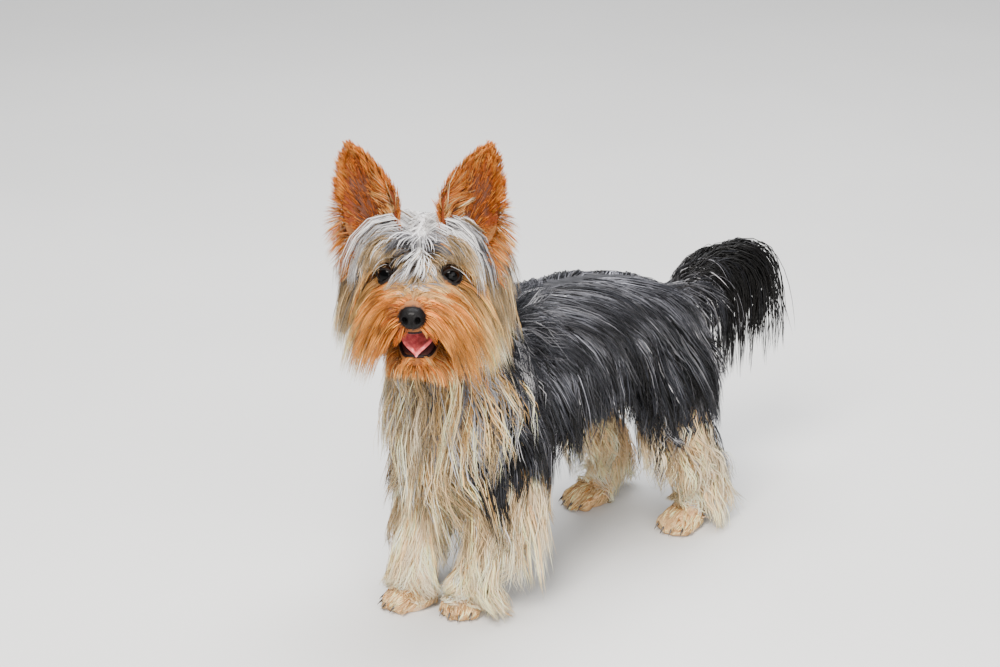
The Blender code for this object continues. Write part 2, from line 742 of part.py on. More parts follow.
def torso_locks(draw):
    """Tiers that fall from the parting on the spine down both sides to the hem."""
    locks = []
    for tier, (degrees, count, share_down, width) in enumerate(TORSO_TIERS):
        for side in (1, -1):
            for k in range(count):
                along = 0.13 + 0.84 * (k + 0.5 * (tier % 2) + draw.uniform(0.1, 0.4)) / count
                if along > 0.985:
                    continue
                angle = math.radians(degrees + draw.uniform(-5, 5))
                angle = angle if side > 0 else math.pi - angle
                root, out, round_way, _ = surface(TORSO, along, angle)
                lie = (-side * round_way + Vector((0, 0.3, 0))).normalized()
                to_hem = root.z - hem_height(root.y + 0.01)
                length = max(0.028, to_hem * share_down * 1.1) * draw.uniform(0.93, 1.08)
                length += 0.014 if degrees > 60 else 0.0
                locks.append(Lock(root, out, lie, length, width * draw.uniform(0.9, 1.1),
                                  stand=0.0042 + 0.0034 * (k % 2), hang=0.15,
                                  steps=3 if tier < 2 else 4))
    for row, (along, length) in enumerate(CHEST_ROWS):
        for k in range(5):
            angle = math.radians(-10 + 50 * k + 25 * (row % 2))
            root, out, _, _ = surface(TORSO, along, angle)
            lie = (DOWN + Vector((12 * root.x, -0.1, 0))).normalized()
            locks.append(Lock(root, out, lie, length, 0.018, stand=0.006, hang=0.3))
    along, length = RUMP_ROW
    for degrees in (60, 20, -20, 120, 160, 200):
        root, out, _, _ = surface(TORSO, along, math.radians(degrees))
        locks.append(Lock(root, out, (DOWN + out * 0.3).normalized(), length, 0.019,
                          stand=0.005, hang=0.3))
    return locks


def neck_locks(draw):
    """A bib that hangs from the throat, and the shorter hair of the nape."""
    locks = []
    for tier, (along, count, front, behind, width) in enumerate(NECK_TIERS):
        for k in range(count):
            angle = math.tau * (k + 0.5 * tier) / count + draw.uniform(-0.1, 0.1)
            share = 0.5 + 0.5 * math.sin(angle)
            root, out, _, ahead = surface(NECK, along + NAPE_RISE * (1 - share), angle)
            length = behind + (front - behind) * share
            lie = (-ahead + out * 0.1).normalized()
            locks.append(Lock(root, out, lie, length * draw.uniform(0.9, 1.08), width,
                              stand=0.004 + 0.003 * (k % 2), hang=0.25))
    return locks


def head_lock(head, along, degrees, side, lie, length, width, **more):
    """A lock on one side of the head, its lie given in the head's own frame."""
    angle = math.radians(degrees)
    angle = math.pi - angle if side > 0 else angle
    root, out, _, _ = surface(head, along, angle)
    lie = turned_in_head(Vector((side * lie[0], lie[1], lie[2])))
    return Lock(root, out, lie, length, width, **more)


def head_locks(draw):
    """The fall of the crown, the hair of the temples, cheeks and back, and the moustache."""
    locks = []
    for row in HEAD_LOCKS:
        along, degrees, lie, length, width, stand, hang = row
        for side in (1, -1):
            locks.append(head_lock(SKULL, along, degrees + draw.uniform(-3, 3), side, lie,
                                   length * draw.uniform(0.92, 1.08), width, stand=stand,
                                   hang=hang, steps=4 if length > 0.034 else 3))
    return locks


def jaw_locks(draw):
    """The beard, which hangs from the chin."""
    locks = []
    for along, degrees in ((0.92, -80), (0.80, -50), (0.62, -35), (0.45, -55)):
        for side in (1, -1):
            locks.append(head_lock(JAW, along, degrees, side, (0.25, -0.15, -0.9),
                                   0.013 * draw.uniform(0.9, 1.1), 0.009, thickness=0.0020,
                                   stand=0.002, hang=0.3, steps=3))
    return locks


def leg_locks(draw, loft, tiers, side):
    """Tiers that flare out and down round a leg, like a bell over the paw."""
    locks = []
    for tier, (along, count, length, width, flare) in enumerate(tiers):
        for k in range(count):
            angle = math.tau * (k + 0.5 * (tier % 2)) / count + draw.uniform(-0.12, 0.12)
            root, out, _, _ = surface(loft, along, angle)
            outward = max(0.0, 0.45 + 0.55 * side * out.x - 0.25 * max(0.0, -out.y))
            lie = (DOWN + out * 0.3 * outward).normalized()
            reach = min(length * draw.uniform(0.92, 1.1), (root.z - 0.003) * 1.08)
            if reach < 0.008:
                continue
            locks.append(Lock(root, out, lie, reach, width * draw.uniform(0.9, 1.1), 0.0022,
                              stand=0.003 + flare * outward, hang=0.12,
                              steps=4 if tier < 1 else 3))
    return locks


def tail_locks(draw):
    """The plume: long separate strands that spring off the tail and arch over and down."""
    locks = []
    for k in range(TAIL_LOCKS):
        share = (k + 0.5) / TAIL_LOCKS
        along = 0.20 + 0.79 * share
        degrees = (70, -20, 200, -70, 110, -110)[k % 6] + draw.uniform(-12, 12)
        root, out, _, ahead = surface(TAIL, along, math.radians(degrees))
        lie = (ahead + out * 0.1 + Vector((0, 0.2, 0))).normalized()
        length = (0.050 + 0.022 * share) * draw.uniform(0.9, 1.1)
        hang = 0.40 if out.z > 0.3 else 0.52
        locks.append(Lock(root, out, lie, length, 0.0095, 0.0020, stand=0.002,
                          hang=hang, cling=0.0, steps=4))
    return locks


def ear_locks(draw, side):
    """Fringe hair along the outer edge and at the root of an ear."""
    locks = []
    for share, t, lie, length in EAR_FRINGE:
        root = ear_point(side, share, t)
        out = turned_in_head(Vector((side * t, 0, 0.1)))
        lie = turned_in_head(Vector((side * lie[0], lie[1], lie[2])))
        locks.append(Lock(root, out, lie, length * draw.uniform(0.9, 1.1), 0.0075, 0.0018,
                          stand=0.0025, hang=0.08, steps=3))
    return locks


def build_head(node):
    """Lids and lips join the head, and the sockets and the roof of the mouth are cut from it."""
    lids = []
    sockets = []
    for side in (1, -1):
        centre, looks = eye_place(side)
        rim = in_head(centre + looks * LID_REACH)
        lids.append(ring_round("lids", rim, turned_in_head(looks), LID_RADIUS, LID_THICKNESS,
                               LID_SQUASH))
        sockets.append(ball("socket", in_head(centre), (EYE_RADIUS + GAP,) * 3, None, 12, 8))
    lip = lip_points(SKULL, UPPER_LIP)
    lids.append(tube_along("upper lip", lip, [LIP_RADIUS] * len(lip)))
    mouth = Vector((0, -0.008, -0.0275))
    sockets.append(ball("roof", in_head(mouth), (0.0105, 0.0200, 0.0060), HEAD.to_3x3().to_4x4(), 12, 8))
    combine(node, lids, "UNION")
    combine(node, sockets, "DIFFERENCE")


def lip_points(loft, path):
    """Points along a lip: shares of the loft's axis and angles, down one side and up the other."""
    down = [(along, math.radians(angle)) for along, angle in path]
    up = [(along, math.pi - angle) for along, angle in reversed(down)]
    return [loft.point(along, angle, -LIP_RADIUS * 0.5) for along, angle in down + up]


def build_nose(node):
    """Nostrils and the groove between them are cut from the pad."""
    cutters = []
    turn = HEAD.to_3x3().to_4x4()
    for side in (1, -1):
        cutters.append(ball("nostril", in_head(Vector((side * 0.0036, -0.0392, -0.0098))),
                            (0.0019, 0.0032, 0.0016), turn, 7, 4))
        cutters.append(ball("nostril slit", in_head(Vector((side * 0.0064, -0.0370, -0.0112))),
                            (0.0026, 0.0030, 0.0008), turn, 7, 4))
    combine(node, cutters, "DIFFERENCE")


def ear_point(side, share, t):
    """A point of an ear's leaf: its share of the way up, and from -1 inside to 1 outside."""
    up = max(0.0, share)
    root = Vector((side * EAR_ROOT.x, EAR_ROOT.y, EAR_ROOT.z))
    tip = Vector((side * EAR_TIP.x, EAR_TIP.y, EAR_TIP.z))
    across = Vector((side * (0.79 + 0.14 * up), 0.10, -0.61 + 0.26 * up)).normalized()
    width = EAR_WIDTH / 2 * max(0.03, 1 - up**1.6)
    cup = EAR_CUP * (1 - up) ** 0.8
    at = root.lerp(tip, share) + across * (width * t)
    at.y += cup * (0.5 - t * t)
    return in_head(at)


def ear_surface(side):
    """The leaf-shaped, cupped flap of an ear, standing on the side of the head."""
    data = bpy.data.meshes.new("ear")
    shape = bmesh.new()
    grid = []
    for i in range(EAR_ROWS + 1):
        share = -0.22 + 1.22 * i / EAR_ROWS
        columns = (2 * j / EAR_COLUMNS - 1 for j in range(EAR_COLUMNS + 1))
        grid.append([shape.verts.new(ear_point(side, share, t)) for t in columns])
    for low, high in zip(grid, grid[1:]):
        for j in range(EAR_COLUMNS):
            shape.faces.new((low[j], low[j + 1], high[j + 1], high[j]))
    shape.to_mesh(data)
    shape.free()
    flap = place("ear", data, bpy.context.scene.collection)
    thick = flap.modifiers.new("Thickness", "SOLIDIFY")
    thick.thickness = EAR_THICKNESS
    thick.offset = 0
    thick.use_even_offset = True
    bpy.context.view_layer.update()
    made = bpy.data.meshes.new_from_object(
        flap.evaluated_get(bpy.context.evaluated_depsgraph_get()))
    bpy.data.objects.remove(flap)
    bpy.data.meshes.remove(data)
    closed = bmesh.new()
    closed.from_mesh(made)
    face_out(closed)
    closed.to_mesh(made)
    closed.free()
    return made


def build_foot(node, centre, turn):
    """Pad, toes and claws join the leg, which is then cut level with the ground."""
    spin = Matrix.Rotation(turn, 4, "Z")
    place_of = Matrix.Translation(Vector((centre.x, centre.y, 0))) @ spin
    pieces = [ball("pad", place_of @ Vector((0, 0, 0.0062)),
                   (PAW_HALF_WIDTH, PAW_HALF_LENGTH, PAW_HEIGHT * 0.62), spin, 10, 6)]
    for k in range(4):
        spread = (k - 1.5) / 1.5
        out = spread * 0.0084
        forward = -PAW_HALF_LENGTH * (0.86 - 0.24 * spread * spread)
        toe = Vector((out, forward, TOE_RADIUS * 0.82))
        pieces.append(ball("toe", place_of @ toe, (TOE_RADIUS, TOE_RADIUS * 1.15, TOE_RADIUS),
                           spin, 8, 4))
        base = toe + Vector((spread * 0.0008, -TOE_RADIUS * 0.8, 0.0012))
        point = base + Vector((spread * 0.0012, -CLAW_LENGTH * 0.80, -CLAW_LENGTH * 0.52))
        pieces.append(cone("claw", place_of @ base, place_of @ point, CLAW_RADIUS))
    combine(node, pieces, "UNION")
    ground = block("ground", Vector((centre.x - 0.1, centre.y - 0.1, -0.1)),
                   Vector((centre.x + 0.1, centre.y + 0.1, SOLE_LEVEL)))
    combine(node, [ground], "DIFFERENCE")


def main():
    """Builds the terrier, part by part, and stands it on its origin."""
    for thing in list(bpy.data.objects):
        bpy.data.objects.remove(thing)
    dog = helper_collection("yorkshire terrier")
    finishes = {name: paint(name, *look) for name, look in LOOKS.items()}
    nodes = {}
    for name, loft, look in (
        ("torso", TORSO, "dark steel coat"),
        ("neck", NECK, "silver coat"),
        ("head", SKULL, "tan coat"),
        ("jaw", JAW, "tan coat"),
        ("tongue", TONGUE, "tongue"),
        ("tail", TAIL, "black coat"),
        *((leg, loft, "blond coat") for leg, loft in LEGS.items()),
    ):
        nodes[name] = place(name, loft.mesh(name), dog, finishes[look])
    build_head(nodes["head"])
    nose = in_head(Vector((0, -NOSE_REACH + NOSE_RADII[1], -0.0105)))
    nodes["nose"] = ball("nose", nose, NOSE_RADII, HEAD.to_3x3().to_4x4(), 12, 8)
    move(nodes["nose"], dog, finishes["nose"])
    build_nose(nodes["nose"])
    for word, side in (("left", 1), ("right", -1)):
        centre, _ = eye_place(side)
        eye = ball("eye_" + word, in_head(centre), (EYE_RADIUS,) * 3, None, 12, 8)
        nodes[eye.name] = move(eye, dog, finishes["eye"])
        nodes["ear_" + word] = place("ear_" + word, ear_surface(side), dog, finishes["ear"])
    for name, (x, y), turn in FEET:
        build_foot(nodes[name], Vector((x, y, 0)), turn)
    trim(nodes["neck"], TORSO, SKULL, JAW)
    trim(nodes["jaw"], SKULL, TONGUE)
    trim(nodes["tongue"], SKULL)
    trim(nodes["nose"], SKULL)
    trim(nodes["tail"], TORSO, LEGS["leg_hind_left"], LEGS["leg_hind_right"])
    for name in ("ear_left", "ear_right"):
        trim(nodes[name], SKULL)
    for name in LEGS:
        trim(nodes[name], TORSO, NECK)
        side = 1 if name.endswith("left") else -1
        middle = (Vector((-side * 0.1, -0.2, -0.1)), Vector((side * GAP / 2, 0.2, 0.3)))
        low = Vector(map(min, *middle))
        high = Vector(map(max, *middle))
        combine(nodes[name], [block("middle", low, high)], "DIFFERENCE")
    draw = random.Random(11)
    body = tree_of(*nodes.values())
    grow_locks(nodes["neck"], neck_locks(draw), nodes, body)
    grow_locks(nodes["head"], head_locks(draw), nodes, body)
    grow_locks(nodes["jaw"], jaw_locks(draw), nodes, body)
    grow_locks(nodes["torso"], torso_locks(draw), nodes, body)
    grow_locks(nodes["tail"], tail_locks(random.Random(TAIL_SEED)), nodes, body)
    for word, side in (("left", 1), ("right", -1)):
        fore, hind = "leg_front_" + word, "leg_hind_" + word
        grow_locks(nodes["ear_" + word], ear_locks(draw, side), nodes, body)
        grow_locks(nodes[fore], leg_locks(draw, LEGS[fore], FRONT_LEG_TIERS, side), nodes, body)
        grow_locks(nodes[hind], leg_locks(draw, LEGS[hind], HIND_LEG_TIERS, side), nodes, body)
    for name in ("nose", "tongue"):
        merge_flats(nodes[name].data, FLAT_ANGLES)
    stand_on_origin(nodes.values())


def move(piece, collection, finish):
    """Puts a finished piece among the nodes, with its finish."""
    for owner in list(piece.users_collection):
        owner.objects.unlink(piece)
    collection.objects.link(piece)
    piece.data.materials.clear()
    piece.data.materials.append(finish)
    return piece


def stand_on_origin(pieces):
    """Moves every piece so that the middle of the footprint's box is the origin."""
    points = np.array([v.co for piece in pieces for v in piece.data.vertices])
    low, high = points.min(0), points.max(0)
    shift = Matrix.Translation((-(low[0] + high[0]) / 2, -(low[1] + high[1]) / 2, -low[2]))
    for piece in pieces:
        piece.data.transform(shift)
        piece.data.update()


if __name__ == "__main__":
    main()
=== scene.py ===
"""The look of a life-size Yorkshire terrier that stands with its head turned to its left.

One skin is lofted from the sections of the solids and replaces them, and the coat is combed onto
it, strand by strand. Shapes are worked out in the dog's own frame, whose origin is on the ground
between its feet, and are carried to the model's frame when a mesh is made. Metres, +Z up.
"""

import logging
import math
from collections.abc import Callable
from dataclasses import dataclass, field
from enum import Enum

import bpy
import numpy as np
from mathutils import Matrix, Vector
from mathutils.bvhtree import BVHTree
from mathutils.kdtree import KDTree


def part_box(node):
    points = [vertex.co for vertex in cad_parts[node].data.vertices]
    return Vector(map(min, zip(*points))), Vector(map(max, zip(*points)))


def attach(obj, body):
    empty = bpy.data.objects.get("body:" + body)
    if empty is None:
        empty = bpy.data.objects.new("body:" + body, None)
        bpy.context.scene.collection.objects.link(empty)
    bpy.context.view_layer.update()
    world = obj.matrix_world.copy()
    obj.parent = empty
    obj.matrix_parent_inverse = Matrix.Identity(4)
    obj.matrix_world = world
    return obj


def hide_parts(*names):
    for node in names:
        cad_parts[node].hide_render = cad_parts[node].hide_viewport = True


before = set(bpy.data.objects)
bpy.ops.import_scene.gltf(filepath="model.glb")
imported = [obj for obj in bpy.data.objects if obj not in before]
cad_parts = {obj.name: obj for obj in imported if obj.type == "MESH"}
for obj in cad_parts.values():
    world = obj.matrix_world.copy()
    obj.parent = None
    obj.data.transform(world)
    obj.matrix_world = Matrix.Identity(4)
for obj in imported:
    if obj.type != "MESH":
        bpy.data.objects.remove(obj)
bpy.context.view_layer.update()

log = logging.getLogger("terrier")

Array = np.ndarray
Triple = tuple[float, float, float]

# The head: where the middle between the eyes is, and how it is turned to the left and rolled.
EYE_LINE = np.array((0.0265, -0.1372, 0.2480))
HEAD_TURN = math.radians(38.3)
HEAD_ROLL = math.radians(1.5)
# Where the solids have their left eye, in the dog's frame.
SOLID_LEFT_EYE = np.array((0.04134, -0.12008, 0.24900))
# The eyes: half their distance, their depth behind the eye line, and how far they look outward.
EYE_RADIUS = 0.0078
EYE_APART = 0.0181
EYE_DEPTH = 0.0035
EYE_OUTWARD = math.radians(16)
NOSE_CENTRE = np.array((0.0, -0.0338, -0.0138))
NOSE_RADII = np.array((0.0080, 0.0064, 0.0070))
# The ears' leaves. They start at a negative share, inside the head.
EAR_WIDTH = 0.040
EAR_THICKNESS = 0.0020
EAR_CUP = 0.012
EAR_TAPER = 2.2
EAR_START = -0.2
EAR_ROOT = np.array((0.0255, 0.0190, 0.0190))
EAR_TIP = np.array((0.0425, 0.0240, 0.0735))
# Hair: how far it stays off the floor, how deep a root is sunk, how near the skin a strand clings
# to it, and how near it a root has to be.
FLOOR_CLEAR = 0.0012
SUNK = 0.0012
CLING_REACH = 0.03
ROOT_REACH = 0.0025
# Room without hair, in the head's own frame: round an eye's line of sight, the nose and the mouth.
EYE_ROOM = np.array((0.0056, 0.0056, 0.0046))
FACE_ROOMS = (((0.0, -0.0385, -0.0105), (0.0078, 0.0110, 0.0068)),
              ((0.0, -0.0300, -0.0352), (0.0102, 0.0200, 0.0094)))
# The most triangles that a piece of the coat is given, a strand's size in the UV map, and how
# many clumps make a lock.
PIECE_TRIANGLES = 195000
CHART_PATCH = 0.003
CLUMPS_IN_LOCK = 6
# The grid over a loft on which the density of hair is given.
GRID_RINGS, GRID_POINTS = 60, 48
# Ripples are stretched along the fall of the hair by these.
FALLING = (1, 1, 0.4)
HANGING = (1, 1, 0.2)

UP = np.array((0.0, 0.0, 1.0))
DOWN = -UP
AHEAD = np.array((0.0, -1.0, 0.0))
BACK = -AHEAD

# Sections of the body under its coat: x, y, z of the centre, half width, reach to the front or
# top, reach to the back or underside.
TORSO_SECTIONS = (
    (0.000, -0.108, 0.142, 0.010, 0.012, 0.014),
    (0.000, -0.101, 0.142, 0.026, 0.028, 0.030),
    (0.000, -0.085, 0.144, 0.037, 0.042, 0.042),
    (0.000, -0.060, 0.1455, 0.042, 0.0465, 0.0475),
    (0.000, -0.030, 0.149, 0.043, 0.044, 0.043),
    (0.000, 0.005, 0.152, 0.042, 0.043, 0.038),
    (0.000, 0.045, 0.150, 0.040, 0.041, 0.034),
    (0.000, 0.078, 0.145, 0.039, 0.037, 0.030),
    (0.001, 0.105, 0.138, 0.037, 0.034, 0.030),
    (0.002, 0.124, 0.134, 0.027, 0.026, 0.026),
    (0.003, 0.134, 0.133, 0.012, 0.012, 0.014),
)
NECK_SECTIONS = (
    (0.000, -0.052, 0.140, 0.034, 0.036, 0.034),
    (0.000, -0.068, 0.165, 0.033, 0.034, 0.032),
    (0.001, -0.082, 0.190, 0.031, 0.031, 0.030),
    (0.003, -0.094, 0.213, 0.029, 0.029, 0.028),
    (0.006, -0.104, 0.236, 0.025, 0.024, 0.024),
)
HEAD_SECTIONS = (
    (0.000, 0.0600, 0.002, 0.010, 0.010, 0.012),
    (0.000, 0.0550, 0.001, 0.020, 0.0165, 0.022),
    (0.000, 0.0440, 0.000, 0.028, 0.0240, 0.029),
    (0.000, 0.0300, 0.000, 0.0315, 0.0272, 0.0315),
    (0.000, 0.0170, 0.000, 0.0310, 0.0260, 0.0310),
    (0.000, 0.0080, 0.000, 0.0285, 0.0215, 0.0300),
    (0.000, 0.0010, -0.004, 0.0250, 0.0150, 0.0240),
    (0.000, -0.0080, -0.009, 0.0200, 0.0105, 0.0165),
    (0.000, -0.0180, -0.011, 0.0170, 0.0090, 0.0147),
    (0.000, -0.0280, -0.012, 0.0148, 0.0085, 0.0136),
    (0.000, -0.0335, -0.012, 0.0115, 0.0070, 0.0120),
)
JAW_SECTIONS = (
    (0.000, 0.0180, -0.0270, 0.0175, 0.0060, 0.0080),
    (0.000, 0.0060, -0.0320, 0.0160, 0.0050, 0.0080),
    (0.000, -0.0060, -0.0380, 0.0135, 0.0040, 0.0075),
    (0.000, -0.0160, -0.0430, 0.0115, 0.0038, 0.0065),
    (0.000, -0.0225, -0.0457, 0.0085, 0.0030, 0.0050),
)
TAIL_SECTIONS = (
    (0.003, 0.128, 0.150, 0.011, 0.011, 0.011),
    (0.006, 0.143, 0.166, 0.0095, 0.009, 0.010),
    (0.012, 0.159, 0.175, 0.0080, 0.007, 0.008),
    (0.018, 0.173, 0.179, 0.0060, 0.005, 0.006),
    (0.023, 0.186, 0.178, 0.0035, 0.003, 0.003),
)
FRONT_LEG_SECTIONS = (
    (0.030, -0.062, 0.120, 0.015, 0.022, 0.022),
    (0.032, -0.066, 0.098, 0.014, 0.018, 0.019),
    (0.029, -0.073, 0.074, 0.0115, 0.013, 0.014),
    (0.024, -0.079, 0.050, 0.0095, 0.010, 0.011),
    (0.019, -0.084, 0.030, 0.0090, 0.009, 0.010),
    (0.016, -0.087, 0.015, 0.0105, 0.011, 0.011),
    (0.0155, -0.088, 0.000, 0.0110, 0.012, 0.011),
)
HIND_LEG_SECTIONS = (
    (0.026, 0.098, 0.132, 0.018, 0.032, 0.034),
    (0.032, 0.092, 0.108, 0.019, 0.029, 0.033),
    (0.036, 0.090, 0.085, 0.017, 0.023, 0.026),
    (0.038, 0.104, 0.062, 0.013, 0.016, 0.016),
    (0.038, 0.121, 0.042, 0.0100, 0.011, 0.012),
    (0.037, 0.116, 0.024, 0.0095, 0.010, 0.010),
    (0.036, 0.109, 0.010, 0.0105, 0.012, 0.010),
    (0.036, 0.107, 0.000, 0.0105, 0.012, 0.010),
)
FRONT_RIGHT_STEP = -0.019
HIND_RIGHT_STEP = -0.015
SIDES = {1: "left", -1: "right"}
# Each foot: where it stands, and how far it turns out. Then the sizes of its pad, the height of
# the pad's middle, the rounded form that its short hair is sown on, its toes and its claws.
FEET = (
    ((0.0145, -0.087), math.radians(24)),
    ((-0.0145, -0.106), math.radians(-26)),
    ((0.0360, 0.104), math.radians(8)),
    ((-0.0360, 0.088), math.radians(-8)),
)
PAW_RADII = (0.0125, 0.0165, 0.0093)
PAW_HEIGHT = 0.0062
PAW_FUR = np.array((0.0150, 0.0215, 0.0125))
TOES = 4
TOE_RADIUS = 0.0052
CLAW_LENGTH = 0.0070
# The hem of the dark coat: how far back, and how high above the ground.
HEM = ((-0.110, 0.150), (-0.091, 0.136), (-0.066, 0.082), (-0.050, 0.064), (-0.030, 0.082),
       (0.000, 0.114), (0.040, 0.102), (0.070, 0.088), (0.099, 0.078), (0.145, 0.104))


class Tone(Enum):
    """A colour of hair: at the root and at the tip."""

    WHITE = ((0.52, 0.50, 0.49), (0.90, 0.88, 0.88))
    SILVER = ((0.19, 0.185, 0.195), (0.54, 0.53, 0.54))
    GREY = ((0.040, 0.038, 0.040), (0.140, 0.138, 0.150))
    # SLATE is painted sheen: pale at the root, where the top of the back catches the light, and
    # near black at the tip, down the shaded flank.
    SLATE = ((0.135, 0.135, 0.152), (0.009, 0.009, 0.011))
    STEEL = ((0.0050, 0.0050, 0.0060), (0.024, 0.025, 0.031))
    BLACK = ((0.0015, 0.0013, 0.0012), (0.0045, 0.0040, 0.0036))
    FAWN = ((0.110, 0.062, 0.026), (0.46, 0.325, 0.175))
    GOLD = ((0.31, 0.130, 0.030), (0.80, 0.50, 0.20))
    TAN = ((0.26, 0.062, 0.006), (0.68, 0.28, 0.058))
    RUST = ((0.17, 0.030, 0.003), (0.47, 0.118, 0.013))
    CREAM = ((0.93, 0.63, 0.35), (0.99, 0.86, 0.62))
    BLOND = ((0.88, 0.48, 0.20), (0.99, 0.76, 0.44))


TONES = list(Tone)
ROOT_COLOURS, TIP_COLOURS = (np.array([tone.value[i] for tone in TONES]) for i in (0, 1))
# Bare skin: in the mouth, dark lining with painted shade of the open mouth; round an eye; under
# the nose pad; and in the ear's cup, dark skin with painted shade of the hollow.
MOUTH_SKIN_AND_SHADE = (0.05, 0.012, 0.011)
EYE_SKIN = (0.008, 0.005, 0.004)
NOSE_SKIN = (0.02, 0.012, 0.010)
CUP_SKIN_AND_SHADE = (0.100, 0.030, 0.012)

